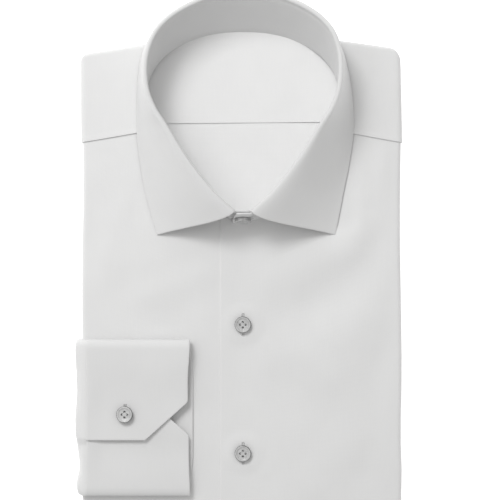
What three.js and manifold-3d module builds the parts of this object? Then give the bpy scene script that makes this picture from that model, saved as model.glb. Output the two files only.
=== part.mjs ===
// A folded dress shirt, in millimetres: +X to the viewer's right, +Y towards the collar, +Z up.
//
// The body lies face up as a slab of fronts over back, its sides folded under. At the bottom the
// slab turns back beneath itself as the tail, and the sleeves lie in the gap between the two.
// The right sleeve comes out round the left edge, so that its buttoned cuff lies on the front.
// The shirt is drawn about its centre front line, and the last lines move it so that the origin
// is the middle of its footprint, on the surface that it lies on.

import * as THREE from "three";
import { mergeVertices } from "three/addons/utils/BufferGeometryUtils.js";
import Module from "manifold-3d";

const wasm = await Module();
wasm.setup();

// Cloth
const ply = 1.0; // one layer of shirt cloth, seams and air taken in
const gap = 0.3; // between pieces that meet
const standWall = 2.0; // two layers and a stiff interlining
const leafWall = 1.6;
const cuffWall = 1.5;

// The folded body
const halfWidth = 114.7;
const bodyHeight = 21;
const sideRadius = 4.2; // of the fold down each side
const slab = 2 * sideRadius; // thickness of the folded body, and of the tail under it
const bendRadius = bodyHeight / 2; // of the fold at the bottom
const bottomY = -192.6;
const bendY = bottomY + bendRadius;
const hemY = 100; // where the tail ends, under the body
const flapWidth = 50; // how far each side is folded under

// Fronts, yoke and back
const placketEdge = 16.9; // from the centre front to the edge of the upper front
const underlap = ply + gap; // how far the lower front lies below the upper one
const underlapRamp = 4.4;
const shoulderY = 168.5; // of the fold along the shoulders, at the centre
const shoulderSlope = 0.1525;
const shoulderTilt = 0.0247; // the left shoulder is folded a little higher
const shoulderEase = 4; // rounds the two slopes into each other at the centre
const shoulderRadius = 1.8;
const frontSeamY = 87.3; // yoke to front, at the side fold
const frontSeamSlope = 0.178;
const backSeamY = 100.4; // yoke to back, seen inside the neck
const backDepth = 2 * ply + 2 * gap; // of the back's inner face below the body's top
const backWidth = 108;
const backStart = bendY + 10; // the back's own panel ends short of the bottom fold

// The hidden layers, as one solid
const layersSideAir = 1.2; // between their side fold and the front's
const layersShort = { top: 2.4, tail: 3 }; // of the back seam, and of the hem
const tailSteps = [
  { up: 1.6, short: 6 },
  { up: 3.1, short: 9 },
];

// Neckline, in plan: a rounded back and a front that narrows to the collar button
const neck = { centreY: 117, halfWidth: 71, back: 50.4, front: 87.8 };
const neckBackPower = 2.15;
const neckFrontPower = 1.6;
const backClearance = 7; // how much wider the upper layer's hole is behind

// Collar
const crestRadius = 1.9; // of the roll where the leaf turns over the stand
const rollLeg = 3; // how far the leaf runs down inside
const standDrop = rollLeg + 2.4 * gap; // from the roll's inner side to the stand's top edge
const standLift = (standWall + gap) / 2; // how far each end moves out or in where they pass
const standPass = { from: 0.82, full: 0.94 }; // where they start to part, as shares of the length
const standOverlap = 17; // each end of the stand runs this far past the centre front
const standCorner = { from: 0.5, drop: 0.75, power: 2.4 }; // rounds the top of each end

// The crest of the collar's roll, from the centre back to the centre front
const crestRows = [
  { x: 0, y: 191.3, z: 53 },
  { x: 16.2, y: 189.9, z: 53.4 },
  { x: 31.4, y: 185.4, z: 54.3 },
  { x: 45.3, y: 178.8, z: 55.6 },
  { x: 56.0, y: 170.8, z: 56.8 },
  { x: 63.1, y: 161.8, z: 57.9 },
  { x: 67.5, y: 149.3, z: 58.8 },
  { x: 68.7, y: 137.7, z: 59.2 },
  { x: 67.3, y: 121.5, z: 59 },
  { x: 62.6, y: 108.7, z: 58.4 },
  { x: 54.7, y: 96.2, z: 57.3 },
  { x: 40.0, y: 72.3, z: 54.8 },
  { x: 21.2, y: 48.7, z: 51.6 },
  { x: 6.7, y: 35.3, z: 49 },
];
// The leaf's outer edge, from the centre back to the collar's point, and how much further out
// it lies on the left front than on the right one
const leafRows = [
  { x: 0, y: 186, z: 10, more: 0 },
  { x: 25, y: 183, z: 10, more: 0 },
  { x: 47, y: 175.5, z: 11.5, more: 0 },
  { x: 62, y: 166.0, z: 17.5, more: 0 },
  { x: 67.6, y: 160.4, z: 22.4, more: 0 },
  { x: 71.4, y: 153.6, z: 23.3, more: -0.2 },
  { x: 74.2, y: 142.9, z: 23.2, more: 0.3 },
  { x: 76.2, y: 122.8, z: 23.2, more: 2.1 },
  { x: 76.5, y: 96.1, z: 23.1, more: 3.1 },
  { x: 74.3, y: 73.1, z: 22.9, more: 2.5 },
  { x: 70.0, y: 48.6, z: 22.7, more: 2.0 },
  { x: 61.8, y: 19.8, z: 22.6, more: 4.7 },
];
// Behind, the leaf turns over in a tight roll. From the first share of its length to the second
// the roll opens, until in front the leaf turns down over its whole width.
const rollOpens = { from: 0.5, full: 0.85 };
const openLeaving = 0.42; // how long an open roll stays level, as a share of its fall
const tightLeaving = { along: 0.8, down: 0.2 }; // how a leaf leaves a tight roll
const edgeFlatness = 0.75; // the leaf arrives at its edge this much flatter than it falls

// Right cuff, a band buttoned round into a flat tube that lies along X
const cuff = {
  topY: -55.1,
  bottomY: -167.4,
  left: -112,
  right: -38.3,
  innerRight: -36, // the layer that lies on the body reaches a little further
  height: 9.4,
  overEndY: -127.2,
  underEndY: -96.5,
};
const mitre = { alongX: 30.6, alongY: 27.3 };

// Right sleeve, out from under the body and round its left fold: the line of its face against
// the body, and the line of its outer face
const sleeveRows = [
  { innerX: 30, innerZ: 12.3, outerX: 30, outerZ: 8.7 },
  { innerX: -104, innerZ: 12.3, outerX: -104, outerZ: 8.7 },
  { innerX: -110.5, innerZ: 12.1, outerX: -111.2, outerZ: 8.7 },
  { innerX: -114.2, innerZ: 13.2, outerX: -116.4, outerZ: 11.5 },
  { innerX: -115.4, innerZ: 16.2, outerX: -117.9, outerZ: 15.9 },
  { innerX: -114.9, innerZ: 19.3, outerX: -117.3, outerZ: 20.7 },
  { innerX: -113.6, innerZ: 20.7, outerX: -115.2, outerZ: 25.6 },
  { innerX: cuff.left - gap, innerZ: 21.3, outerX: cuff.left - gap, outerZ: 29.7 },
];
const turnStart = 2 / 7; // share of those rows that lie under the body
// How much further the sleeve's turned edge stands out at places down its width
const sleeveBulge = [
  { y: -55, out: 2.0 },
  { y: -68, out: 2.4 },
  { y: -93, out: 1.2 },
  { y: -119, out: 2.4 },
  { y: -144, out: 0 },
  { y: -160, out: 1.6 },
  { y: -168, out: 0.2 },
];

// Sleeves where they lie between body and tail
const sleeveLayer = { low: slab + gap, high: bodyHeight - slab - gap };
const hiddenSleeves = [
  { name: "right_sleeve_upper", from: -106, to: -22, low: -52, high: 139 },
  { name: "left_sleeve", from: 42, to: 109, low: -172, high: 139 },
];

// Buttons
const button = { radius: 5.75, thickness: 2.4, rim: 1.1, dish: 3.7, dishDepth: 0.6, holeRadius: 0.8 };
const holeCircle = 1.9;
const frontButtonYs = [-44.6, -137.2];
const cuffButton = { x: -84.4, y: -109.4 };

const white = { color: 0xe9e9ea, roughness: 0.85, metalness: 0 };
const inside = { color: 0xdcdcde, roughness: 0.9, metalness: 0 };
const shell = { color: 0xc4c4c2, roughness: 0.35, metalness: 0 };

const { lerp, clamp, smoothstep } = THREE.MathUtils;
const vec = (x, y, z) => new THREE.Vector3(x, y, z);

// ---------------------------------------------------------------- walls and booleans

// A closed wall between two grids of points of the same size. A grid that closes on itself
// along its rows has no rim there.
function wall(outer, inner, ring = false) {
  const rows = outer.length;
  const columns = outer[0].length;
  const all = [...outer.flat(), ...inner.flat()];
  const at = (side, i, j) => side * rows * columns + i * columns + (j % columns);
  const index = [];
  const quad = (a, b, c, d) => index.push(a, b, c, a, c, d);
  const lastColumn = ring ? columns : columns - 1;
  for (let i = 0; i + 1 < rows; i++)
    for (let j = 0; j < lastColumn; j++) {
      quad(at(0, i, j), at(0, i + 1, j), at(0, i + 1, j + 1), at(0, i, j + 1));
      quad(at(1, i, j), at(1, i, j + 1), at(1, i + 1, j + 1), at(1, i + 1, j));
    }
  for (let j = 0; j < lastColumn; j++) {
    quad(at(0, 0, j), at(0, 0, j + 1), at(1, 0, j + 1), at(1, 0, j));
    quad(at(0, rows - 1, j), at(1, rows - 1, j), at(1, rows - 1, j + 1), at(0, rows - 1, j + 1));
  }
  if (!ring)
    for (let i = 0; i + 1 < rows; i++) {
      quad(at(0, i, 0), at(1, i, 0), at(1, i + 1, 0), at(0, i + 1, 0));
      const j = columns - 1;
      quad(at(0, i, j), at(0, i + 1, j), at(1, i + 1, j), at(1, i, j));
    }
  const geometry = new THREE.BufferGeometry();
  geometry.setAttribute("position", new THREE.Float32BufferAttribute(all.flatMap((p) => [p.x, p.y, p.z]), 3));
  geometry.setIndex(index);
  return facingOut(geometry);
}

// A closed solid whose faces were wound either way, with its faces pointing out.
function facingOut(geometry) {
  if (toSolid(geometry).volume() > 0) return geometry;
  const turned = geometry.index.array;
  for (let i = 0; i < turned.length; i += 3) [turned[i + 1], turned[i + 2]] = [turned[i + 2], turned[i + 1]];
  return geometry;
}

// A grid of points moved along the surface's own normals.
function movedOut(grid, distance) {
  const side = (a, b) => new THREE.Vector3().subVectors(b, a);
  return grid.map((row, i) =>
    row.map((p, j) => {
      const down = side(grid[Math.max(i - 1, 0)][j], grid[Math.min(i + 1, grid.length - 1)][j]);
      const along = side(row[Math.max(j - 1, 0)], row[Math.min(j + 1, row.length - 1)]);
      return p.clone().addScaledVector(down.cross(along).normalize(), distance);
    }),
  );
}

const thickened = (grid, thickness) => wall(movedOut(grid, thickness / 2), movedOut(grid, -thickness / 2));

function toSolid(geometry) {
  const plain = geometry.clone();
  plain.deleteAttribute("normal");
  plain.deleteAttribute("uv");
  const merged = mergeVertices(plain, 1e-4);
  const vertProperties = new Float32Array(merged.attributes.position.array);
  const triVerts = new Uint32Array(merged.index.array);
  return new wasm.Manifold(new wasm.Mesh({ numProp: 3, vertProperties, triVerts }));
}

function toGeometry(solid) {
  const mesh = solid.getMesh();
  const geometry = new THREE.BufferGeometry();
  geometry.setAttribute("position", new THREE.Float32BufferAttribute(mesh.vertProperties, 3));
  geometry.setIndex(new THREE.BufferAttribute(mesh.triVerts, 1));
  return geometry;
}

function cut(geometry, ...tools) {
  return toGeometry(tools.reduce((solid, tool) => solid.subtract(toSolid(tool)), toSolid(geometry)));
}

// A plan outline raised between two heights.
function prism(outline, low, high) {
  const shape = new THREE.Shape(outline.map((p) => new THREE.Vector2(p.x, p.y)));
  return new THREE.ExtrudeGeometry(shape, { depth: high - low, bevelEnabled: false }).translate(0, 0, low);
}

function block(low, high) {
  const size = new THREE.Vector3().subVectors(high, low);
  return new THREE.BoxGeometry(size.x, size.y, size.z).translate(...low.clone().add(high).multiplyScalar(0.5));
}

const span = (count, from, to) => Array.from({ length: count + 1 }, (_, i) => lerp(from, to, i / count));

// ---------------------------------------------------------------- the folded cloth

// Where cloth at a distance across from the centre front lies, and how far below the body's
// outside: flat to the side fold, round it, and back underneath.
function across(distance, depth) {
  const side = Math.sign(distance) || 1;
  const flat = halfWidth - sideRadius;
  const past = Math.abs(distance) - flat;
  if (past <= 0) return { x: distance, n: -depth };
  const turn = past / sideRadius;
  if (turn >= Math.PI) return { x: side * (flat - (past - Math.PI * sideRadius)), n: -slab + depth };
  const radius = sideRadius - depth;
  return { x: side * (flat + radius * Math.sin(turn)), n: -sideRadius + radius * Math.cos(turn) };
}

// Where a place lies along the body: down its top, round the bottom fold and up the tail.
function along(distance, startY) {
  const top = startY - bendY;
  if (distance <= top) return { y: startY - distance, z: bodyHeight, ny: 0, nz: 1 };
  const turn = (distance - top) / bendRadius;
  if (turn >= Math.PI) return { y: bendY + (distance - top - Math.PI * bendRadius), z: 0, ny: 0, nz: -1 };
  const ny = -Math.sin(turn);
  const nz = Math.cos(turn);
  return { y: bendY + bendRadius * ny, z: bendRadius + bendRadius * nz, ny, nz };
}

const sideStart = halfWidth - sideRadius;
const sideEnd = sideStart + Math.PI * sideRadius;
const flapEnd = sideEnd + flapWidth;
const shoulderAt = (a) => shoulderY - shoulderSlope * Math.hypot(a, shoulderEase) + shoulderTilt * a;
const frontSeamAt = (a) => frontSeamY + (halfWidth - Math.abs(a)) * frontSeamSlope;

// One front, from its edge at the centre out over the top, round the side fold and under.
function frontPanel(side, edge, depthAt) {
  const columns = [...depthAt.places, ...span(2, depthAt.places.at(-1), sideStart).slice(1)];
  columns.push(...span(6, sideStart, sideEnd).slice(1), ...span(2, sideEnd, flapEnd).slice(1));
  columns.unshift(edge);
  const layer = (extra) =>
    rowsAlong(frontSeamAt, gap / 2).map((rowAt) =>
      columns.map((a) => {
        const place = across(side * a, depthAt.depth(a) + extra);
        const p = rowAt(a);
        return vec(place.x, p.y + p.ny * place.n, p.z + p.nz * place.n);
      }),
    );
  return wall(layer(0), layer(ply));
}

// The stations of a front: for each, a function that gives its place for a column.
function rowsAlong(seamAt, clear) {
  const top = [0, 0.25, 0.5, 0.75, 1];
  const bend = span(8, 0, Math.PI).slice(1);
  const tail = [0.5, 1];
  return [
    ...top.map((share) => (a) => along(share * (seamAt(a) - clear - bendY), seamAt(a) - clear)),
    ...bend.map((turn) => () => along(turn * bendRadius, bendY)),
    ...tail.map((share) => () => along(Math.PI * bendRadius + share * (hemY - bendY), bendY)),
  ];
}

// The neckline in plan: turn 0 is the centre back, and half a turn the centre front.
function neckPoint(turn, out = 0) {
  const x = Math.sin(turn);
  const y = Math.cos(turn);
  const power = y > 0 ? neckBackPower : neckFrontPower;
  const reach = y > 0 ? neck.back : neck.front;
  const round = (value) => Math.sign(value) * Math.abs(value) ** (2 / power);
  return { x: (neck.halfWidth + out) * round(x), y: neck.centreY + (reach + out) * round(y) };
}

// The hole in the upper layer. Behind the shoulders it is wider, so that the stand rests on the
// back, and in front of them its edge is the neckline.
function neckHole() {
  const turns = span(64, 0, 2 * Math.PI).slice(0, -1);
  return turns.map((turn) => {
    const fromBack = Math.min(turn, 2 * Math.PI - turn);
    return neckPoint(turn, backClearance * (1 - smoothstep(fromBack, 0.5, 1.45)));
  });
}

// The tool for it stops just above the back's inner face.
const neckTool = prism(neckHole(), bodyHeight - backDepth + gap / 3, 2 * bodyHeight);

function rightFront() {
  // Its edge lies under the other front, so its places near the centre are lower.
  const start = placketEdge + 0.7;
  const depthAt = {
    places: [0, start, start + underlapRamp],
    depth: (a) => underlap * (1 - smoothstep(a, start, start + underlapRamp)),
  };
  return cut(frontPanel(-1, -placketEdge, depthAt), neckTool);
}

function leftFront() {
  const depthAt = { places: [0, placketEdge + 4], depth: () => 0 };
  return cut(frontPanel(1, -placketEdge, depthAt), neckTool);
}

// The yoke: from its seam on the fronts, over the shoulder fold and down to its seam on the
// back, with both ends folded under at the sides.
function yoke() {
  const half = [0, 12, 30, 50, 70, 92, sideStart];
  half.push(...span(6, sideStart, sideEnd).slice(1), sideEnd + flapWidth / 2, flapEnd);
  const columns = [...half.slice(1).reverse().map((a) => -a), ...half];
  const layer = (inset) => {
    const radius = shoulderRadius - inset;
    return [
      (a) => ({ y: frontSeamAt(a) + gap / 2, depth: inset }),
      (a) => ({ y: lerp(frontSeamAt(a), shoulderAt(a), 0.6), depth: inset }),
      ...span(5, 0, Math.PI).map((turn) => (a) => ({
        y: shoulderAt(a) - shoulderRadius + radius * Math.sin(turn),
        depth: shoulderRadius - radius * Math.cos(turn),
      })),
      () => ({ y: backSeamY + gap / 2, depth: 2 * shoulderRadius - inset }),
    ].map((rowAt) =>
      columns.map((a) => {
        const row = rowAt(a);
        const place = across(a, row.depth);
        return vec(place.x, row.y, bodyHeight + place.n);
      }),
    );
  };
  return cut(wall(layer(0), layer(ply)), neckTool);
}

function backPanel() {
  const top = bodyHeight - backDepth;
  return block(vec(-backWidth, backStart, top - ply), vec(backWidth, backSeamY - gap / 2, top));
}

// The hidden layers of back and sides as one solid with round edges, folded once like the body,
// and stepped where the layers of the tail end.
function foldedLayers() {
  const inside = ply + gap;
  const bodyTopDepth = backDepth + ply + gap;
  const tailTopDepth = underlap + ply + gap;
  const low = slab - inside;
  const reach = halfWidth - inside;
  const section = (topDepth) => {
    const radius = (low - topDepth) / 2;
    const right = span(4, 0, Math.PI).map((turn) => ({
      x: reach - layersSideAir - radius + radius * Math.sin(turn),
      n: -topDepth - radius + radius * Math.cos(turn),
    }));
    const left = right.map((p) => ({ x: -p.x, n: p.n })).reverse();
    return [...right, ...left];
  };
  const startY = backSeamY - layersShort.top;
  const bodyRun = startY - bendY;
  const tailRun = hemY - layersShort.tail - bendY;
  const stations = [
    ...[0, 0.5, 1].map((share) => ({ at: share * bodyRun, depth: bodyTopDepth })),
    ...span(8, 0, 1).slice(1).map((share) => ({
      at: bodyRun + share * Math.PI * bendRadius,
      depth: lerp(bodyTopDepth, tailTopDepth, share),
    })),
    ...[0.5, 1].map((share) => ({ at: bodyRun + Math.PI * bendRadius + share * tailRun, depth: tailTopDepth })),
  ];
  const rings = stations.map(({ at, depth }) => {
    const p = along(at, startY);
    return section(depth).map((q) => vec(q.x, p.y + p.ny * q.n, p.z + p.nz * q.n));
  });
  const stepHalf = halfWidth + flapWidth;
  const steps = tailSteps.map(({ up, short }) =>
    block(vec(-stepHalf, hemY - short, tailTopDepth + up), vec(stepHalf, hemY + gap, slab)),
  );
  return cut(closedLoft(rings), ...steps);
}

// A solid through closed rings of the same number of points, with flat ends.
function closedLoft(rings) {
  const count = rings[0].length;
  const index = [];
  for (let i = 0; i + 1 < rings.length; i++)
    for (let j = 0; j < count; j++) {
      const k = (j + 1) % count;
      index.push(i * count + j, (i + 1) * count + j, (i + 1) * count + k);
      index.push(i * count + j, (i + 1) * count + k, i * count + k);
    }
  const last = (rings.length - 1) * count;
  for (let j = 1; j + 1 < count; j++) {
    index.push(0, j, j + 1);
    index.push(last, last + j + 1, last + j);
  }
  const geometry = new THREE.BufferGeometry();
  const points = rings.flat();
  const places = points.flatMap((p) => [p.x, p.y, p.z]);
  geometry.setAttribute("position", new THREE.Float32BufferAttribute(places, 3));
  geometry.setIndex(index);
  return facingOut(geometry);
}

// ---------------------------------------------------------------- collar

const curveOf = (rows) => new THREE.CatmullRomCurve3(rows.map((r) => vec(r.x, r.y, r.z)), false, "centripetal");
const crestCurve = curveOf(crestRows);
const leafCurves = {
  right: curveOf(leafRows),
  left: curveOf(leafRows.map((r) => ({ ...r, x: r.x + r.more }))),
};

// The stand's foot, on its inner face: on the back behind, and on the fronts in front.
const footCurve = curveOf(
  span(24, 0, Math.PI).map((turn) => {
    const rest = lerp(bodyHeight - backDepth, bodyHeight, smoothstep(turn, 0.45, 0.95));
    return { ...neckPoint(turn), z: rest + gap };
  }),
);

// One station of the collar: crest, foot and leaf edge at the same share of their lengths, the
// level direction outwards across the crest, and the way down to the foot.
function collarStation(share, side) {
  const mirrored = (p) => vec(side * p.x, p.y, p.z);
  const crest = mirrored(crestCurve.getPointAt(share));
  const tangent = mirrored(crestCurve.getTangentAt(share));
  const out = vec(tangent.y, -tangent.x, 0).normalize().multiplyScalar(-side);
  const footOut = mirrored(footCurve.getTangentAt(share));
  const foot = mirrored(footCurve.getPointAt(share));
  foot.addScaledVector(vec(footOut.y, -footOut.x, 0).normalize(), -side * (standWall / 2));
  // a leaning wall's lower corner is below its middle line
  const lean = crest.clone().sub(foot);
  foot.z += (standWall / 2) * (Math.hypot(lean.x, lean.y) / lean.length());
  const edge = mirrored((side > 0 ? leafCurves.left : leafCurves.right).getPointAt(share));
  const inner = crest.clone().addScaledVector(out, -crestRadius).add(vec(0, 0, -crestRadius));
  const down = foot.clone().sub(inner).normalize();
  return { crest, out, foot, edge, inner, down };
}

// The leaf's stations, from the front of the right side round the back to the left side.
const leafStations = span(30, -1, 1).map((s) => ({ share: Math.abs(s), side: s < 0 ? -1 : 1 }));

// The leaf: up from the stand's top edge, over the roll, and down to its outer edge.
function collarLeaf() {
  const grid = leafStations.map(({ share, side }) => {
    const { crest, out, edge, inner, down } = collarStation(share, side);
    const centre = crest.clone().add(vec(0, 0, -crestRadius));
    const roll = (from, to) =>
      span(3, from, to).map((turn) =>
        centre
          .clone()
          .addScaledVector(out, crestRadius * Math.cos(turn))
          .add(vec(0, 0, crestRadius * Math.sin(turn))),
      );
    const inside = roll(Math.PI, Math.PI / 2);
    const tight = tightOutside(roll(Math.PI / 2, 0).slice(1), edge);
    const open = openOutside(crest, out, edge);
    const opened = smoothstep(share, rollOpens.from, rollOpens.full);
    const outside = tight.map((p, i) => p.clone().lerp(open[i], opened));
    return [inner.clone().addScaledVector(down, rollLeg), ...inside, ...outside];
  });
  return thickened(grid, leafWall);
}

// The outside of a leaf that hangs from a tight roll.
function tightOutside(roll, edge) {
  const start = roll.at(-1);
  const fall = edge.clone().sub(start);
  const leaving = fall.clone().multiplyScalar(tightLeaving.along);
  leaving.z -= tightLeaving.down * fall.length();
  const outer = span(6, 0, 1).slice(1).map((t) => hermite(start, leaving, edge, flatter(fall), t));
  return [...roll, ...outer];
}

// The outside of a leaf that leaves the crest level and turns down slowly.
function openOutside(crest, out, edge) {
  const fall = edge.clone().sub(crest);
  const leaving = out.clone().multiplyScalar(openLeaving * fall.length());
  const closeRows = 0.2; // share of the curve with closer rows, beside the crest
  const near = span(3, 0, closeRows).slice(1);
  const far = span(6, closeRows, 1).slice(1);
  return [...near, ...far].map((t) => hermite(crest, leaving, edge, flatter(fall), t));
}

const flatter = (fall) => fall.clone().multiply(vec(1, 1, edgeFlatness));

function hermite(p0, m0, p1, m1, t) {
  const t2 = t * t;
  const t3 = t2 * t;
  return vec(0, 0, 0)
    .addScaledVector(p0, 2 * t3 - 3 * t2 + 1)
    .addScaledVector(m0, t3 - 2 * t2 + t)
    .addScaledVector(p1, -2 * t3 + 3 * t2)
    .addScaledVector(m1, t3 - t2);
}

// The stand: a band from the neckline up to the leaf, whose ends pass each other at the front,
// the left front's outside. Past the last station its ends run straight on.
function collarStand() {
  const sideOf = (side) =>
    span(15, 0, 1).map((share) => {
      const { foot, inner, down } = collarStation(share, side);
      const top = inner.clone().addScaledVector(down, standDrop);
      const apart = smoothstep(share, standPass.from, standPass.full) * standLift * side;
      return [foot, top].map((p) => p.clone().add(vec(0, -apart, 0)));
    });
  const endOf = (side, column) => {
    const last = column.at(-1);
    const end = side * -standOverlap;
    const { from, drop, power } = standCorner;
    return [0.25, 0.55, 0.8, 1].map((share) => {
      const x = lerp(last[0].x, end, share);
      const round = 1 - drop * Math.max(0, (share - from) / (1 - from)) ** power;
      const foot = vec(x, last[0].y, last[0].z);
      const full = vec(x, last[1].y, last[1].z);
      return [foot, foot.clone().lerp(full, round)];
    });
  };
  const right = sideOf(1);
  const left = sideOf(-1);
  const columns = [
    ...[...left, ...endOf(-1, left)].reverse(),
    ...right.slice(1),
    ...endOf(1, right),
  ];
  const grid = columns.map(([foot, top]) => span(3, 0, 1).map((t) => foot.clone().lerp(top, t)));
  return thickened(grid, standWall);
}

// ---------------------------------------------------------------- sleeves and cuff

// The band's line in the Y and Z plane, from its lower end round to the end that buttons over.
function cuffLine() {
  const foot = bodyHeight + gap + cuffWall / 2;
  const over = bodyHeight + gap + cuff.height - cuffWall / 2;
  const under = over - cuffWall - gap;
  const arc = (y, low, high, from, to) => {
    const radius = (high - low) / 2;
    return span(6, from, to).map((turn) => ({
      y: y + radius * Math.sin(turn),
      z: low + radius + radius * Math.cos(turn),
    }));
  };
  const lowFold = cuff.bottomY + cuffWall / 2 + (under - foot) / 2;
  const highFold = cuff.topY - cuffWall / 2 - (over - foot) / 2;
  return [
    ...span(3, cuff.underEndY, lowFold).slice(0, -1).map((y) => ({ y, z: under })),
    ...arc(lowFold, foot, under, 0, -Math.PI),
    ...span(3, lowFold, highFold).slice(1, -1).map((y) => ({ y, z: foot })),
    ...arc(highFold, foot, over, Math.PI, 0),
    ...span(4, highFold, cuff.overEndY).slice(1).map((y) => ({ y, z: over })),
  ];
}

function rightCuff() {
  const line = cuffLine();
  const length = [0];
  line.slice(1).forEach((p, i) => length.push(length[i] + Math.hypot(p.y - line[i].y, p.z - line[i].z)));
  const total = length.at(-1);
  const grid = line.map((p, i) => {
    const fromEnd = Math.min(length[i], total - length[i]);
    const cutBack = mitre.alongX * Math.max(0, 1 - fromEnd / mitre.alongY);
    const lower = p.z < bodyHeight + gap + cuff.height / 2;
    const right = (lower ? cuff.innerRight : cuff.right) - cutBack;
    return span(3, cuff.left, right).map((x) => vec(x, p.y, p.z));
  });
  return thickened(grid, cuffWall);
}

function bulgeAt(y) {
  const rows = sleeveBulge;
  const i = clamp(rows.findIndex((r) => r.y < y), 1, rows.length - 1);
  const [a, b] = [rows[i - 1], rows[i]];
  return lerp(a.out, b.out, smoothstep(a.y - y, 0, a.y - b.y));
}

// The stretch of the right sleeve that shows, as a flat tube of one wall.
function rightSleeve() {
  const count = 8;
  const ringAt = (row, share, inset) => {
    const inner = vec(row.innerX, 0, row.innerZ);
    const outward = vec(row.outerX, 0, row.outerZ).sub(inner);
    const thick = outward.length();
    outward.normalize();
    const radius = thick / 2;
    const low = cuff.bottomY + radius;
    const high = cuff.topY - radius;
    const bend = Math.sin(Math.PI * clamp((share - turnStart) / (1 - turnStart), 0, 1));
    const point = (y, m) => {
      const out = m > radius ? bulgeAt(y) * bend : 0;
      return inner.clone().addScaledVector(outward, m + out).add(vec(0, y, 0));
    };
    const arc = (y, from, to) =>
      span(4, from, to).map((turn) =>
        point(y + (radius - inset) * Math.sin(turn), radius + (radius - inset) * Math.cos(turn)),
      );
    return [
      ...arc(high, Math.PI, 0),
      ...span(count, high, low).slice(1, -1).map((y) => point(y, thick - inset)),
      ...arc(low, 0, -Math.PI),
      ...span(count, low, high).slice(1, -1).map((y) => point(y, inset)),
    ];
  };
  const layer = (inset) => sleeveRows.map((row, i) => ringAt(row, i / (sleeveRows.length - 1), inset));
  return wall(layer(0), layer(ply), true);
}

// A sleeve pressed flat between body and tail: two layers, each with a round edge.
function pressedSleeve({ from, to, low, high }) {
  const radius = (sleeveLayer.high - sleeveLayer.low) / 4;
  const edge = (x, side) =>
    [0, 1].flatMap((layer) =>
      span(4, 0, Math.PI).map((turn) => ({
        x: x + side * radius * Math.sin(turn),
        z: sleeveLayer.low + radius * (1 + 2 * layer) - radius * Math.cos(turn),
      })),
    );
  const right = edge(to - radius, 1).filter((_, i) => i !== 5);
  const left = edge(from + radius, -1).filter((_, i) => i !== 5).reverse();
  const rings = [low, high].map((y) => [...right, ...left].map((p) => vec(p.x, y, p.z)));
  return concaveLoft(rings);
}

// A solid between two copies of an outline that isn't convex.
function concaveLoft([first, last]) {
  const outline = first.map((p) => new THREE.Vector2(p.x, p.z));
  const geometry = new THREE.ExtrudeGeometry(new THREE.Shape(outline), {
    depth: last[0].y - first[0].y,
    bevelEnabled: false,
  });
  return geometry.rotateX(Math.PI / 2).translate(0, last[0].y, 0);
}

// ---------------------------------------------------------------- buttons

// A four-hole button lying on Z = 0, its face up.
function buttonGeometry() {
  const { radius, thickness, rim, dish, dishDepth, holeRadius } = button;
  const profile = [
    { r: 0, z: 0 },
    { r: radius - rim, z: 0 },
    { r: radius, z: thickness * 0.45 },
    { r: radius - 0.3 * rim, z: thickness * 0.85 },
    { r: radius - rim, z: thickness },
    { r: dish, z: thickness - dishDepth * 0.6 },
    { r: dish * 0.7, z: thickness - dishDepth },
    { r: 0, z: thickness - dishDepth },
  ];
  const turned = new THREE.LatheGeometry(profile.map((p) => new THREE.Vector2(p.r, p.z)), 24);
  const holes = [0, 1, 2, 3].map((k) => {
    const turn = (k * Math.PI) / 2;
    const hole = new THREE.CylinderGeometry(holeRadius, holeRadius, 3 * thickness, 8);
    return hole.translate(holeCircle * Math.cos(turn), 0, holeCircle * Math.sin(turn));
  });
  return cut(facingOut(mergeVertices(stripped(turned), 1e-4)), ...holes).rotateX(Math.PI / 2);
}

function stripped(geometry) {
  geometry.deleteAttribute("normal");
  geometry.deleteAttribute("uv");
  return geometry;
}

// ---------------------------------------------------------------- the shirt

const shirt = new THREE.Group();

function piece(name, geometry, finish, place = vec(0, 0, 0)) {
  geometry.computeVertexNormals();
  const mesh = new THREE.Mesh(geometry, new THREE.MeshStandardMaterial(finish));
  mesh.name = name;
  mesh.position.copy(place);
  shirt.add(mesh);
  return mesh;
}

piece("right_front", rightFront(), white);
piece("left_front", leftFront(), white);
piece("yoke", yoke(), white);
piece("back_panel", backPanel(), inside);
piece("folded_layers", foldedLayers(), inside);
piece("collar_stand", collarStand(), white);
piece("collar_leaf", collarLeaf(), white);
piece("right_sleeve", rightSleeve(), white);
piece("right_cuff", rightCuff(), white);
hiddenSleeves.forEach((sleeve) => piece(sleeve.name, pressedSleeve(sleeve), white));

frontButtonYs.forEach((y, i) => {
  piece(`front_button_${i + 1}`, buttonGeometry(), shell, vec(0, y, bodyHeight + gap));
});
const cuffTop = bodyHeight + gap + cuff.height;
piece("cuff_button", buttonGeometry(), shell, vec(cuffButton.x, cuffButton.y, cuffTop + gap));

// The collar button stands on the stand's outer end, square to its slope.
const front = collarStation(1, 1);
const standTop = front.inner.clone().addScaledVector(front.down, standDrop);
const slope = vec(0, standTop.y - front.foot.y, standTop.z - front.foot.z).normalize();
const outward = vec(0, -slope.z, slope.y);
const middle = vec(0, (standTop.y + front.foot.y) / 2, (standTop.z + front.foot.z) / 2);
const standFace = middle.addScaledVector(outward, standLift * slope.z + standWall / 2 + gap);
const collarButton = piece("collar_button", buttonGeometry(), shell, standFace);
collarButton.quaternion.setFromUnitVectors(vec(0, 0, 1), outward);

// The footprint's middle: the sleeve's edge stands out on the left, the collar at the top.
const box = new THREE.Box3().setFromObject(shirt);
shirt.position.set(-(box.min.x + box.max.x) / 2, -(box.min.y + box.max.y) / 2, 0);

export default shirt;
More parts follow.
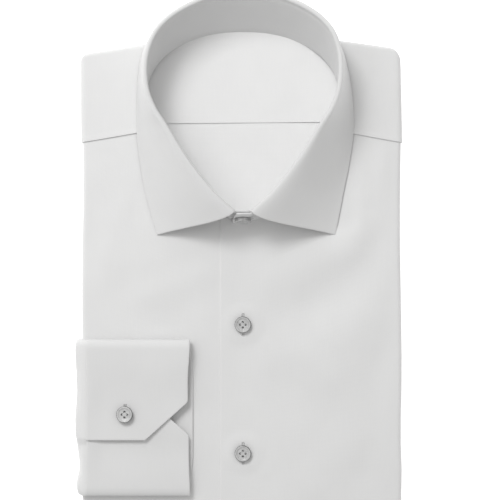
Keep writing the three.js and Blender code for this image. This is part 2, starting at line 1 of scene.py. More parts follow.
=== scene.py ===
# %% [markdown]
# # A folded dress shirt
# A white cotton shirt, pressed and folded as for a shop shelf: collar buttoned and standing,
# sides and tail folded behind, and the right cuff brought round to the front. The solid model
# from the CAD step is the frame. This lesson dresses it: each stiff solid is replaced by thin
# cloth that follows the same form, with its seams, buttons, sewing thread and buttonholes.

# %% Load the frame
import math

import bmesh
import bpy
import numpy as np
from mathutils import Matrix, Vector, noise


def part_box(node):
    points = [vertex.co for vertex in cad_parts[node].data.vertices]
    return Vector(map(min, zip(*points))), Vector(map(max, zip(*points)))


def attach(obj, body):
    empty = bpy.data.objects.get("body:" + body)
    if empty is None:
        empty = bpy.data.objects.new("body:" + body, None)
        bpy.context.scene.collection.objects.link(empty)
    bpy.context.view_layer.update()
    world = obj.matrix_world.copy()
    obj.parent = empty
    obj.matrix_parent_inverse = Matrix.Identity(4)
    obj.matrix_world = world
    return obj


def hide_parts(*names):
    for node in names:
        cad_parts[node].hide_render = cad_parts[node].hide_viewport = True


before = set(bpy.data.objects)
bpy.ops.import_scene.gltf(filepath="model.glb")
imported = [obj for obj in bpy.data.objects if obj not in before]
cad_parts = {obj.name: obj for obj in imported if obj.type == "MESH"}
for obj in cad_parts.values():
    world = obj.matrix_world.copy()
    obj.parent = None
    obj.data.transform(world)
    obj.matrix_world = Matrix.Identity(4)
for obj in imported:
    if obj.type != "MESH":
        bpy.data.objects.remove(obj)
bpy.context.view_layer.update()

# %% [markdown]
# ## Working in millimetres from the centre front
# A shirt maker measures from the centre front line. So every size below is in millimetres, X
# from the centre front, Y up the shirt and Z up from the table, and one function turns such a
# point into Blender's metres. The frame's own nodes say where that centre line is.

# %% The shirt's own axes
MM = 0.001
PLACKET_EDGE = 16.9  # from the centre front to the edge of the upper front
BODY_HEIGHT = 21.0
HALF_WIDTH = 114.7
BOTTOM_Y = -192.6

left_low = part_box("left_front")[0]
ORIGIN = np.array([left_low.x + PLACKET_EDGE * MM, left_low.y - BOTTOM_Y * MM, 0.0])


def metres(points):
    """Points in millimetres from the centre front, as metres in the frame."""
    return np.asarray(points, float) * MM + ORIGIN


print("centre front at", ORIGIN.round(4))

# %% [markdown]
# ## Camera
# The shirt is seen straight from above with a long lens, so its sides stay parallel and only
# the standing collar, which is nearer, looks a little larger.

# %% Camera straight above
VIEW_CENTRE = (5.04, 9.0)
VIEW_WIDTH = 360.0
VIEW_HEIGHT = 1300.0
SENSOR = 36.0

camera_data = bpy.data.cameras.new("camera")
camera = bpy.data.objects.new("camera", camera_data)
bpy.context.scene.collection.objects.link(camera)
camera.location = metres([*VIEW_CENTRE, BODY_HEIGHT + VIEW_HEIGHT])
camera_data.sensor_width = SENSOR
camera_data.lens = SENSOR * VIEW_HEIGHT / VIEW_WIDTH
camera_data.clip_start, camera_data.clip_end = 0.05, 20.0
bpy.context.scene.camera = camera
print("lens", round(camera_data.lens, 1), "mm")

# %% [markdown]
# ## Smooth curves through a few stations
# The collar is drawn as a maker would draft it: a handful of stations with their places, and a
# smooth line through them. This is the centripetal Catmull-Rom curve, which never loops
# between uneven stations. It is then cut into equal lengths.

# %% Curve helper
def smooth_line(rows, steps=40):
    """A dense smooth line through the rows, each a point."""
    p = np.array(rows, float)
    p = np.vstack([2 * p[0] - p[1], p, 2 * p[-1] - p[-2]])
    out = []
    for i in range(1, len(p) - 2):
        a, b, c, d = p[i - 1:i + 3]
        t1 = np.linalg.norm(b - a) ** 0.5
        t2 = t1 + np.linalg.norm(c - b) ** 0.5
        t3 = t2 + np.linalg.norm(d - c) ** 0.5
        t = np.linspace(t1, t2, steps, endpoint=False)[:, None]
        ab = (t1 - t) / t1 * a + t / t1 * b
        bc = (t2 - t) / (t2 - t1) * b + (t - t1) / (t2 - t1) * c
        cd = (t3 - t) / (t3 - t2) * c + (t - t2) / (t3 - t2) * d
        abc = (t2 - t) / t2 * ab + t / t2 * bc
        bcd = (t3 - t) / (t3 - t1) * bc + (t - t1) / (t3 - t1) * cd
        out.append((t2 - t) / (t2 - t1) * abc + (t - t1) / (t2 - t1) * bcd)
    return np.vstack([*out, p[-2]])


def lengths_along(line):
    """How far along a line each of its points is."""
    return np.concatenate([[0], np.cumsum(np.linalg.norm(np.diff(line, axis=0), axis=1))])


def between(want, places, rows):
    """Rows that belong to those places, read at the wanted ones."""
    return np.stack([np.interp(want, places, column) for column in rows.T], axis=1)


def at_share(line, shares):
    """Points of a line at shares of its length."""
    run = lengths_along(line)
    return between(np.asarray(shares) * run[-1], run, line)


def tangents(line):
    """Unit directions along a line of points."""
    step = np.gradient(line, axis=0)
    return step / np.linalg.norm(step, axis=1)[:, None]


def smoothstep(x, low, high):
    """0 before low, 1 after high, and an S curve between."""
    t = np.clip((np.asarray(x, float) - low) / (high - low), 0, 1)
    return t * t * (3 - 2 * t)


def points_at(*places):
    """Points from their X, Y and Z, each an array or one number for all of them."""
    return np.stack(np.broadcast_arrays(*places), axis=-1)


def table(columns, *rows):
    """A short table: each row of numbers under the names of its columns."""
    return [dict(zip(columns.split(), row)) for row in rows]


# %% [markdown]
# ## Cloth as a thin wall
# Cloth is never one flat face: it has two sides and an edge. Every piece here starts as a
# grid of points on the outside of the cloth, and becomes a closed wall in one of two ways.
# Single cloth gets the Solidify modifier. Stiffer sewn pieces, such as the collar and the cuff,
# are made of two grids that meet in a rounded edge, as two layers turned right side out do.
# Each piece also keeps a UV map in metres of cloth, so that the weave runs along its threads.

# %% Objects
def new_object(name, points, faces, uvs=None):
    """An object from points in millimetres, faces, and a UV place in metres for each point."""
    mesh = bpy.data.meshes.new(name)
    mesh.from_pydata([tuple(p) for p in metres(points)], [], faces)
    if uvs is not None:
        layer = mesh.uv_layers.new(name="cloth")
        corner = np.empty(len(mesh.loops), int)
        mesh.loops.foreach_get("vertex_index", corner)
        layer.data.foreach_set("uv", np.asarray(uvs, float)[corner].ravel())
    mesh.polygons.foreach_set("use_smooth", [True] * len(mesh.polygons))
    mesh.update()
    made = bpy.data.objects.new(name, mesh)
    bpy.context.scene.collection.objects.link(made)
    return made


def choose(piece):
    """Make the piece the only selected one, and the active one."""
    bpy.ops.object.select_all(action="DESELECT")
    piece.select_set(True)
    bpy.context.view_layer.objects.active = piece


def apply_modifier(piece, kind, **settings):
    """Put one modifier on the piece and make what it does permanent."""
    choose(piece)
    modifier = piece.modifiers.new(kind.lower(), kind)
    for key, value in settings.items():
        setattr(modifier, key, value)
    bpy.ops.object.modifier_apply(modifier=modifier.name)


def close_seams(piece, weld=None, turn_outwards=False):
    """Join the points nearer than weld, in metres, and turn all faces outwards."""
    choose(piece)
    bpy.ops.object.mode_set(mode="EDIT")
    bpy.ops.mesh.select_all(action="SELECT")
    if weld:
        bpy.ops.mesh.remove_doubles(threshold=weld)
    if turn_outwards:
        bpy.ops.mesh.normals_make_consistent(inside=False)
    bpy.ops.object.mode_set(mode="OBJECT")
    return piece


def report(piece):
    """Print what a piece came to."""
    size = [round(v / MM, 1) for v in piece.dimensions]
    print(piece.name, len(piece.data.vertices), "points", len(piece.data.polygons), "faces", size)
    return piece


# %% Grids of points
def grid_faces(rows, columns):
    """The quads of a grid of points numbered row by row."""
    i, j = np.meshgrid(np.arange(rows - 1), np.arange(columns - 1), indexing="ij")
    a = (i * columns + j).ravel()
    return np.stack([a, a + 1, a + columns + 1, a + columns], axis=1)


def grid_uvs(grid):
    """Metres along the columns and down the rows of a grid, as they lie in the cloth."""
    across = np.linalg.norm(np.diff(grid, axis=1), axis=2)
    down = np.linalg.norm(np.diff(grid, axis=0), axis=2)
    u = np.concatenate([np.zeros((grid.shape[0], 1)), np.cumsum(across, axis=1)], axis=1)
    u -= u[:, [grid.shape[1] // 2]]
    v = np.concatenate([np.zeros((1, grid.shape[1])), np.cumsum(down, axis=0)], axis=0)
    v = np.broadcast_to(v.mean(axis=1)[:, None], v.shape)
    return np.stack([u, v], axis=2).reshape(-1, 2) * MM


def normals_of(grid):
    """Unit normals at the points of a grid."""
    n = np.cross(np.gradient(grid, axis=0), np.gradient(grid, axis=1))
    return n / np.maximum(np.linalg.norm(n, axis=2), 1e-9)[..., None]


def flipped_to(grid, faces, facing):
    """Faces whose middle one points the way of facing."""
    points = grid.reshape(-1, 3)
    a, b, c = points[faces[len(faces) // 2][:3]]
    return faces if np.dot(np.cross(b - a, c - b), facing) > 0 else faces[:, ::-1]


# %% Single cloth
def single_cloth(name, grid, thickness, facing, keep=None, weld=None, crease=50):
    """One layer of cloth, its outside on the grid. keep says which quads stay, weld closes a
    tube, and edges sharper than crease, in degrees, stay sharp."""
    faces = flipped_to(grid, grid_faces(*grid.shape[:2]), facing)
    if keep is not None:
        faces = faces[keep.ravel()]
    made = new_object(name, grid.reshape(-1, 3), faces.tolist(), grid_uvs(grid))
    clean = bmesh.new()
    clean.from_mesh(made.data)
    loose = [v for v in clean.verts if not v.link_faces]
    bmesh.ops.delete(clean, geom=loose, context="VERTS")
    clean.to_mesh(made.data)
    clean.free()
    if weld:
        close_seams(made, weld)
    apply_modifier(made, "SOLIDIFY", thickness=thickness * MM, offset=-1)
    bpy.ops.object.shade_smooth_by_angle(angle=math.radians(crease))
    return made


# %% Sewn wall
ROUND_EDGE = (30, 60, 90)  # degrees of the quarter circle where the edge has its rows
EDGE_WELD = 0.02 * MM  # the two grids meet at the edge, so their points there are joined
TAPER_COLUMNS = (12, 4)  # a thinned side starts and ends so many columns before its edge


def with_edge_rows(grid, places):
    """The grid with extra rows close to its first and last one, at those distances."""
    def near(first, second):
        run = np.linalg.norm(second - first, axis=1)[:, None]
        return [first + (second - first) * np.minimum(d / run, 0.9) for d in places]

    start = near(grid[0], grid[1])
    end = near(grid[-1], grid[-2])[::-1]
    return np.stack([grid[0], *start, *grid[1:-1], *end, grid[-1]])


def sewn_wall(name, grid, thickness, facing, thinned=1.0):
    """Layers sewn together and turned: a wall centred on the grid with rounded edges. Its last
    columns are thinned to that share of the thickness."""
    half = thickness / 2
    places = [half * (1 - math.cos(math.radians(a))) for a in ROUND_EDGE]
    grid = with_edge_rows(grid, places)
    grid = with_edge_rows(grid.swapaxes(0, 1), places).swapaxes(0, 1)
    rows, columns = grid.shape[:2]
    rise = np.array([0.0] + [math.sin(math.radians(a)) for a in ROUND_EDGE])

    def profile(count):
        shape = np.ones(count)
        shape[:4] = rise
        shape[-4:] = rise[::-1]
        return shape

    start, end = (columns - before for before in TAPER_COLUMNS)
    taper = 1 - (1 - thinned) * smoothstep(np.arange(columns), start, end)
    bulge = profile(rows)[:, None] * (profile(columns) * taper)[None, :]
    normals = normals_of(grid)
    if np.dot(normals[rows // 2, columns // 2], facing) <= 0:
        normals = -normals
    offset = normals * (half * bulge)[..., None]
    layers = np.vstack([(grid + offset).reshape(-1, 3), (grid - offset).reshape(-1, 3)])
    faces = flipped_to(grid, grid_faces(rows, columns), facing)
    both = np.vstack([faces, faces[:, ::-1] + rows * columns])
    uv = grid_uvs(grid)
    made = new_object(name, layers, both.tolist(), np.vstack([uv, uv]))
    return close_seams(made, EDGE_WELD, turn_outwards=True)


# %% [markdown]
# ## Poplin
# Shirting poplin is a plain weave of fine combed cotton, about fifty warp threads to the
# centimetre and thirty weft threads. Pressed, it is matt with a faint sheen at grazing angles.
# Its threads are too fine to show at this distance, so the weave is drawn three times as
# coarse and only as a slight bump, with the uneven thickness of cotton yarn over it.

# %% Node helper and colours
def linear(hex_colour):
    """An sRGB hex colour as the linear values that shaders use."""
    parts = [int(hex_colour[i:i + 2], 16) / 255 for i in (1, 3, 5)]
    return (*[c / 12.92 if c <= 0.04045 else ((c + 0.055) / 1.055) ** 2.4 for c in parts], 1.0)


def add_node(material, kind, inputs=None, settings=None, **links):
    """One shader node with its input values, its settings, and what is linked into it: a
    socket, or a node for its first output. i0 stands for the input with number 0."""
    node = material.node_tree.nodes.new("ShaderNode" + kind)
    for key, value in (settings or {}).items():
        setattr(node, key, value)
    for key, value in (inputs or {}).items():
        node.inputs[key].default_value = value
    for key, source in links.items():
        target = int(key[1:]) if key[1:].isdigit() else key.replace("_", " ")
        socket = source.outputs[0] if isinstance(source, bpy.types.Node) else source
        material.node_tree.links.new(socket, node.inputs[target])
    return node


def empty_material(name):
    """A material with no nodes yet."""
    material = bpy.data.materials.new(name)
    material.use_nodes = True
    material.node_tree.nodes.clear()
    return material


# %% Poplin material
WARP_SPACING = 0.6 * MM  # a real warp thread is 0.2 mm
WEFT_SPACING = 0.9 * MM  # a real weft thread is 0.33 mm
YARN_SCALE = (900.0, 60.0, 1.0)  # thick places in a yarn are long and thin
WEIGHTED_SUM = {"operation": "MULTIPLY_ADD"}
TINT = {"data_type": "RGBA", "blend_type": "MULTIPLY"}


def woven_cotton(name, colour, weave_depth=0.05 * MM):
    """Pressed white cotton: plain weave, uneven yarn and a faint sheen."""
    m = empty_material(name)
    place = add_node(m, "UVMap", settings={"uv_map": "cloth"})
    # at scale 1 a wave repeats every tau / 20 metres
    warp, weft = (add_node(m, "TexWave", {"Scale": math.tau / 20 / spacing},
                           {"bands_direction": way}, Vector=place).outputs["Fac"]
                  for spacing, way in ((WARP_SPACING, "X"), (WEFT_SPACING, "Y")))
    weave = add_node(m, "Math", settings={"operation": "ADD"}, i0=warp, i1=weft)
    along_yarn = add_node(m, "Mapping", {"Scale": YARN_SCALE}, Vector=place)
    slub = add_node(m, "TexNoise", {"Scale": 1.0, "Detail": 3.0}, Vector=along_yarn)
    spots = add_node(m, "TexCoord").outputs["Object"]
    # patches about 40 mm wide, where the cloth is a shade lighter or darker
    cloudy = add_node(m, "TexNoise", {"Scale": 24.0, "Detail": 2.0}, Vector=spots)
    mixed = add_node(m, "Math", {1: 0.35}, WEIGHTED_SUM, i0=slub, i2=cloudy)
    tone = add_node(m, "MapRange", {"From Min": 0.3, "From Max": 1.1,
                                    "To Min": 0.97, "To Max": 1.03}, Value=mixed)
    base = add_node(m, "Mix", {"Factor": 1.0, 6: linear(colour)}, TINT, i7=tone)
    yarn = add_node(m, "Math", {1: 1.5}, WEIGHTED_SUM, i0=slub, i2=weave)
    bump = add_node(m, "Bump", {"Strength": 0.35, "Distance": weave_depth}, Height=yarn)
    shader = add_node(m, "BsdfPrincipled",
                      {"Roughness": 0.82, "IOR": 1.5, "Specular IOR Level": 0.25,
                       "Sheen Weight": 0.12, "Sheen Roughness": 0.45},
                      Base_Color=base.outputs[2], Normal=bump)
    add_node(m, "OutputMaterial", Surface=shader)
    return m


poplin = woven_cotton("white_cotton_poplin", "#E0E0E0")
# a darker copy of the poplin for the collar and cuff: the finer bump of fused cloth is real, the
# darker colour is painted shade
stiffened_shaded_poplin = woven_cotton("fused_cotton_poplin_painted_shade", "#DBDBDB", 0.03 * MM)
# a lighter copy of the poplin for the inner yoke and back: painted light inside the neck, where the
# collar shades them
inside = woven_cotton("white_cotton_poplin_inside_painted_light", "#E8E8E8")
print("cloth:", poplin.name, stiffened_shaded_poplin.name, inside.name)

# %% [markdown]
# ## How the body is folded
# The body is one flat tube of cloth. Seen from above it is flat to the fold at each side, goes
# round it and comes back underneath. At the bottom the whole slab turns back below itself as
# the tail. Two small functions hold that fold: `across` from the centre front to a side, and
# `along` from the shoulders to the hem.

# %% Sizes of the fold
PLY = 1.0
GAP = 0.3
SIDE_RADIUS = 4.2
PRESSED = 0.68  # 1 is a round side fold, less is squarer
SLAB = 2 * SIDE_RADIUS
BEND_RADIUS = BODY_HEIGHT / 2
BEND_Y = BOTTOM_Y + BEND_RADIUS
BEND_LENGTH = math.pi * BEND_RADIUS
HEM_Y = 100.0
FLAP_WIDTH = 50.0
SIDE_START = HALF_WIDTH - SIDE_RADIUS
SIDE_END = SIDE_START + math.pi * SIDE_RADIUS
FLAP_END = SIDE_END + FLAP_WIDTH
# columns round a side fold, as turns in radians, closer where a pressed fold is tight
SIDE_TURNS = [0, 0.02, 0.05, 0.1, 0.17, 0.27, 0.4, 0.56, 0.75, 0.96, 1.15, 1.3, 1.42, 1.5, 1.54,
              1.57, 1.6, 1.64, 1.72, 1.84, 1.99, 2.18, 2.39, 2.58, 2.74, 2.87, 2.97, 3.04, 3.09,
              3.12, math.pi]
SIDE_COLUMNS = SIDE_START + SIDE_RADIUS * np.array(SIDE_TURNS)
print("cloth from the centre front round one side:", round(FLAP_END, 1), "mm")

# %% Across and along the body
def pressed_round(value):
    """Sine or cosine of a pressed fold: flatter than a circle, with tighter corners."""
    return np.sign(value) * np.abs(value) ** PRESSED


def across(distance, depth):
    """X and height above the body's outside for cloth that far from the centre front."""
    side = np.where(distance < 0, -1.0, 1.0)
    past = np.abs(distance) - SIDE_START
    turn = np.clip(past / SIDE_RADIUS, 0, math.pi)
    radius = SIDE_RADIUS - depth
    back = np.maximum(past - math.pi * SIDE_RADIUS, 0)
    flat = np.minimum(np.abs(distance), SIDE_START)
    x = side * (flat + radius * pressed_round(np.sin(turn)) - back)
    return x, -SIDE_RADIUS + radius * pressed_round(np.cos(turn))


def along(distance, start_y):
    """Y, Z and the outward direction of the body's outside, that far from its start."""
    top = start_y - BEND_Y
    turn = np.clip((distance - top) / BEND_RADIUS, 0, math.pi)
    after = np.maximum(distance - top - BEND_LENGTH, 0)
    y = np.where(distance < top, start_y - distance, BEND_Y - BEND_RADIUS * np.sin(turn) + after)
    z = BEND_RADIUS + BEND_RADIUS * np.cos(turn)
    return y, z, -np.sin(turn), np.cos(turn)


# %% Wavy side folds
# how much further out than its plan each side fold lies, from the bottom to the shoulders
SIDE_EDGES = table(
    "y right left",
    (-185, 0.6, -0.3), (-166, 1.3, -0.5), (-150, 1.2, -0.15), (-132, 1.1, -0.8),
    (-112, 1.0, -0.8), (-90, 1.2, -0.3), (-68, 1.3, -0.2), (-45, 1.4, -0.5), (-18, 1.5, -0.9),
    (5, 1.4, -1.3), (20, 1.1, -1.45), (41, 0.5, -1.45), (72, 0.5, -1.2), (85, 0.8, -0.9),
    (96, 1.3, -0.9), (106, 1.5, -1.1), (145, 1.6, -1.9),
)
WAVY_REACH = 30  # how far in from a side fold the cloth moves with it


def column_of(rows, name):
    """One column of a table."""
    return [row[name] for row in rows]


def wavy_sides(x, y):
    """X moved out or in near the sides, as pressed folds are never quite straight."""
    at = column_of(SIDE_EDGES, "y")
    right = np.interp(y, at, column_of(SIDE_EDGES, "right"))
    left = np.interp(y, at, column_of(SIDE_EDGES, "left"))
    near = smoothstep(np.abs(x), SIDE_START - WAVY_REACH, SIDE_START)
    return x + np.where(x < 0, -right, left) * near


# %% [markdown]
# ## Soft folds in pressed cloth
# Pressed cloth is never quite flat. Where it was folded and pinned it keeps low ridges and
# troughs, up to a millimetre and a half high and as wide as a finger. Each is one row here:
# from where to where it runs, its width and its height, negative for a trough. They run with
# the pull of the cloth, from the shoulder towards the buttons. A slow noise adds the rest.

# %% Ridges and troughs of the fronts
FRONT_FOLDS = table(
    "from_x from_y to_x to_y width height",
    (102, 80, 80, 10, 13, 1.12), (72, 12, 24, -10, 15, 1.61), (92, 6, 52, -28, 14, -1.26),
    (98, -22, 66, -52, 13, 0.84), (96, 82, 93, 40, 8, -0.7), (70, -26, 28, -38, 16, -0.98),
    (90, -44, 62, -78, 17, 1.12), (40, -66, 20, -70, 13, 0.7), (62, -110, 30, -88, 15, -0.84),
    (100, -70, 88, -150, 12, -0.7), (50, -160, 84, -130, 14, 0.77),
    (-28, -8, -68, -24, 11, 0.98), (-30, 20, -66, 4, 14, 0.42), (-86, 40, -100, -10, 12, 0.63),
    (-88, -20, -60, -44, 14, -0.56),
    (7, -50, 16, -58, 3.2, 0.3), (7, -143, 15, -152, 3.2, 0.3),
)


def fold_height(x, y, folds):
    """The height of the soft folds at places in plan."""
    total = np.zeros_like(x)
    for fold in folds:
        start_x, start_y = fold["from_x"], fold["from_y"]
        run_x, run_y = fold["to_x"] - start_x, fold["to_y"] - start_y
        share = ((x - start_x) * run_x + (y - start_y) * run_y) / (run_x**2 + run_y**2)
        near = np.clip(share, 0, 1)
        away = np.hypot(x - start_x - near * run_x, y - start_y - near * run_y)
        total += fold["height"] * np.exp(-((away / fold["width"]) ** 2))
    return total


def slow_noise(x, y, size, seed):
    """Smooth noise in plan whose features are about that size."""
    values = [noise.noise((a / size, b / size, seed)) for a, b in zip(x.ravel(), y.ravel())]
    return np.array(values).reshape(x.shape)


# %% [markdown]
# ## Neckline
# The neck hole is a rounded back and a front that narrows to the collar button. A grid of
# cloth is cut to it as scissors would: points close to the line are moved onto it, and the
# faces inside are left out. That gives a clean edge with no slivers.

# %% Neckline and the cut
NECK_CENTRE_Y = 117.0
NECK_HALF = 71.0
NECK_BACK, NECK_FRONT = 50.4, 87.8
BACK_POWER, FRONT_POWER = 2.15, 1.6
BACK_CLEARANCE = 7.0
CUT_REACH = 0.6  # points nearer to the line than this share of the grid's step are moved to it


def neck_point(turn, out=0.0):
    """The neckline in plan: turn 0 is the centre back, pi the centre front."""
    x, y = np.sin(turn), np.cos(turn)
    power = np.where(y > 0, BACK_POWER, FRONT_POWER)
    reach = np.where(y > 0, NECK_BACK, NECK_FRONT) + out
    px = (NECK_HALF + out) * np.sign(x) * np.abs(x) ** (2 / power)
    py = NECK_CENTRE_Y + reach * np.sign(y) * np.abs(y) ** (2 / power)
    return px, py


def hole_radius(angle):
    """How far the neck hole reaches from its centre in each direction."""
    turn = np.linspace(0, math.tau, 721)
    from_back = np.minimum(turn, math.tau - turn)
    x, y = neck_point(turn, BACK_CLEARANCE * (1 - smoothstep(from_back, 0.5, 1.45)))
    line = np.arctan2(x, y - NECK_CENTRE_Y)
    order = np.argsort(line)
    radius = np.hypot(x, y - NECK_CENTRE_Y)
    return np.interp(angle, line[order], radius[order], period=math.tau)


def cut_neck(grid, rows, spacing):
    """Moves the points of those rows onto the neckline where they are near it. Returns the
    quads to keep."""
    x, y = grid[..., 0], grid[..., 1] - NECK_CENTRE_Y
    away = np.hypot(x, y)
    limit = hole_radius(np.arctan2(x, y))
    on_top = np.zeros(grid.shape[:2], bool)
    on_top[rows] = True
    near = on_top & (np.abs(away - limit) < CUT_REACH * spacing)
    scale = np.where(near, limit / np.maximum(away, 1e-6), 1.0)
    grid[..., 0] = x * scale
    grid[..., 1] = y * scale + NECK_CENTRE_Y
    inside = on_top & (away < limit + 0.01) | near
    return ~(inside[:-1, :-1] & inside[1:, :-1] & inside[:-1, 1:] & inside[1:, 1:])


# %% [markdown]
# ## The two fronts
# A front is one cut of cloth from its placket edge round the side and under. The edge at the
# centre is folded back to the inside, which is called a French front, so no stitching shows.
# The left front lies over the right one. Where the collar, the cuff or a button lies on the
# cloth, the soft folds fade out, because the piece on top presses it flat.

# %% Where the fronts are held down
CLOTH = 0.7  # a front with its turned-in edge
FRONT_SEAM_Y, FRONT_SEAM_SLOPE = 87.3, 0.178
CUFF_PRESS = {"left": -113.0, "right": -35.0, "low": -169.0, "high": -54.0}
CUFF_PRESS_FADE = 8
COLLAR_PRESS = {"low": (18, 34), "side": (86, 76)}  # each from free to pressed
BUTTON_YS = (-44.6, -137.2)
BUTTON_PRESS = (6.0, 9.0)  # from pressed under the button to free
BUTTON_RISE = 0.85
RISE_REACH = (17.5, 8.6)  # where the rise begins and where it is full
GRID_STEP = 2.2
FRONT_TOP_ROWS = int((FRONT_SEAM_Y - BEND_Y) / GRID_STEP)


def front_seam(x):
    """Where the yoke seam crosses the front."""
    return FRONT_SEAM_Y + (HALF_WIDTH - np.abs(x)) * FRONT_SEAM_SLOPE


def pressed_flat(x, y):
    """1 where the cloth is free and 0 where another piece lies on it."""
    cuff, fade = CUFF_PRESS, CUFF_PRESS_FADE
    inside = (smoothstep(x, cuff["right"] + fade, cuff["right"])
              * smoothstep(y, cuff["low"] - fade, cuff["low"])
              * smoothstep(y, cuff["high"] + fade, cuff["high"]))
    collar = smoothstep(y, *COLLAR_PRESS["low"]) * smoothstep(np.abs(x), *COLLAR_PRESS["side"])
    free = (1 - inside) * (1 - collar)
    for button_y in BUTTON_YS:
        free = free * smoothstep(np.hypot(x, y - button_y), *BUTTON_PRESS)
    return free


def button_rise(x, y):
    """How far the cloth stands up where a button and its thread hold the fronts together."""
    height = np.zeros_like(x)
    for button_y in BUTTON_YS:
        height = height + BUTTON_RISE * smoothstep(np.hypot(x, y - button_y), *RISE_REACH)
    return height


# %% Rows and columns of a front
EDGE_COLUMNS = (1.5, 0.25)  # how far in from its own edge the columns are close, and their step
LAP_COLUMNS = (-1.2, 2.4, 0.4)  # the same about the edge of the other front: from, to, step


def front_rows():
    """Distances down a front, with closer rows round the bottom fold. Each is a share of the
    way from the seam to the fold, so that the first row follows the seam, and what is added."""
    flat = [(share, 0.0) for share in np.linspace(0, 1, FRONT_TOP_ROWS)]
    bend = [(1.0, turn) for turn in np.linspace(0, BEND_LENGTH, 19)[1:]]
    tail = [(1.0, BEND_LENGTH + d) for d in np.linspace(0, HEM_Y - BEND_Y, 70)[1:]]
    return flat + bend + tail


def front_columns(edge):
    """Distances across a front, closer at its edge and round the side fold."""
    reach, step = EDGE_COLUMNS
    low, high, lap_step = LAP_COLUMNS
    flat = np.arange(edge + 1.9, SIDE_START, GRID_STEP)
    flap = np.linspace(SIDE_END, FLAP_END, 16)[1:]
    own_edge = np.arange(edge, edge + reach, step)
    other_edge = np.arange(-edge + low, -edge + high, lap_step)
    return np.unique(np.concatenate([own_edge, flat, other_edge, SIDE_COLUMNS, flap]).round(3))


# %% Front panels
BROAD_WAVES = {"height": 0.35, "size": 46.0}
FINE_WAVES = {"height": 0.12, "size": 17.0}
NEAR_LAP, UNDER_LAP = 0.15, 0.55  # how far the right front sinks beside the lap and under it
EDGE_RISE, EDGE_ROUND = 0.5, 0.45  # how far the left one rises to its edge and rounds off there


def front_depth(side, distance, upward):
    """How far a front lies below its plan. The right one is pressed down under the left one,
    which rises towards its own rounded edge."""
    if side < 0:
        beside = 1 - smoothstep(distance, PLACKET_EDGE, PLACKET_EDGE + 9)
        under = 1 - smoothstep(distance, PLACKET_EDGE - 2.5, PLACKET_EDGE - 0.2)
        return NEAR_LAP * beside + UNDER_LAP * under
    near_edge = 1 - smoothstep(distance, -PLACKET_EDGE, -PLACKET_EDGE + 15)
    at_edge = 1 - smoothstep(distance, -PLACKET_EDGE, -PLACKET_EDGE + 1.1)
    return EDGE_ROUND * at_edge - EDGE_RISE * upward * near_edge


def front_panel(side):
    """A front as a grid: side is 1 for the left front and -1 for the right one."""
    columns = front_columns(-PLACKET_EDGE)
    start_y = front_seam(columns) - GAP / 2
    top_run = start_y - BEND_Y
    rows = []
    for share, extra in front_rows():
        y, z, ny, nz = along(share * top_run + extra, start_y)
        x, height = across(side * columns, 0.0)
        broad = BROAD_WAVES["height"] * slow_noise(x, y, BROAD_WAVES["size"], 3.1 + side)
        lift = (fold_height(x, y, FRONT_FOLDS) + broad) * nz
        lift = lift + FINE_WAVES["height"] * slow_noise(x, y, FINE_WAVES["size"], 8.3) * nz
        # no folds under other pieces, round the side or the bottom, or at the seam
        lift = lift * pressed_flat(x, y) * (nz > 0.99)
        lift = lift * smoothstep(np.abs(x), SIDE_START + 4, SIDE_START - 14)
        lift = lift * smoothstep(y, BEND_Y - 2, BEND_Y + 14) * smoothstep(start_y - y, 0, 12)
        upward = smoothstep(nz, 0.2, 1.0)
        lift = lift + button_rise(x, y) * upward
        height = height - front_depth(side, columns, upward) + lift
        rows.append(points_at(wavy_sides(x, y), y + ny * height, z + nz * height))
    return np.stack(rows)


def make_front(name, side):
    """A front, cut to the neckline and given its thickness."""
    grid = front_panel(side)
    keep = cut_neck(grid, slice(0, FRONT_TOP_ROWS), GRID_STEP)
    return single_cloth(name, grid, CLOTH, (0, 0, 1), keep)


right_front = report(make_front("cloth_right_front", -1))
left_front = report(make_front("cloth_left_front", 1))

# %% [markdown]
# ## The yoke
# The yoke is the double piece over both shoulders. It starts at a seam on each front, folds
# over the shoulder line and ends at the seam with the back, which shows inside the neck. Its
# edges are turned in and lie on the pieces that they join, so each seam is a small step.

# %% Sizes of the yoke
SHOULDER_Y, SHOULDER_SLOPE, SHOULDER_EASE = 168.5, 0.1525, 4.0
SHOULDER_TILT = 0.018  # the left shoulder is folded a little higher
SHOULDER_RADIUS = 1.8
CORNER_RADII = {"right": 3.0, "left": 7.0}  # of the corners between shoulder and side
BACK_SEAM_Y = 100.4
BACK_DEPTH = 2 * PLY + 2 * GAP
SEAM_LAP = 0.8  # how far the yoke's edge lies over the front
SEAM_RISE = 0.2
YOKE_CLOTH = 0.9
YOKE_CUT_STEP = 2.4  # about how far apart its rows and columns lie
SEAM_SHARES = [0, 0.006, 0.014, 0.025, 0.04, 0.06, 0.085]  # closer rows beside the seam
YOKE_WAVES = {"height": 0.3, "size": 40.0}
YOKE_FOLDS = table(
    "from_x from_y to_x to_y width height",
    (-100, 140, -84, 104, 13, 0.35), (-88, 100, -108, 118, 10, -0.35),
    (92, 145, 104, 100, 12, -0.4), (84, 138, 88, 104, 9, 0.35),
)


def shoulder_y(x):
    """The fold along the shoulders, rounded off at the sides."""
    radius = np.where(x < 0, CORNER_RADII["right"], CORNER_RADII["left"])
    past = np.clip(np.abs(x) - (HALF_WIDTH - radius), 0, radius)
    corner = radius - np.sqrt(radius**2 - past**2)
    slope = SHOULDER_SLOPE * np.hypot(x, SHOULDER_EASE)
    return SHOULDER_Y - slope + SHOULDER_TILT * x - corner


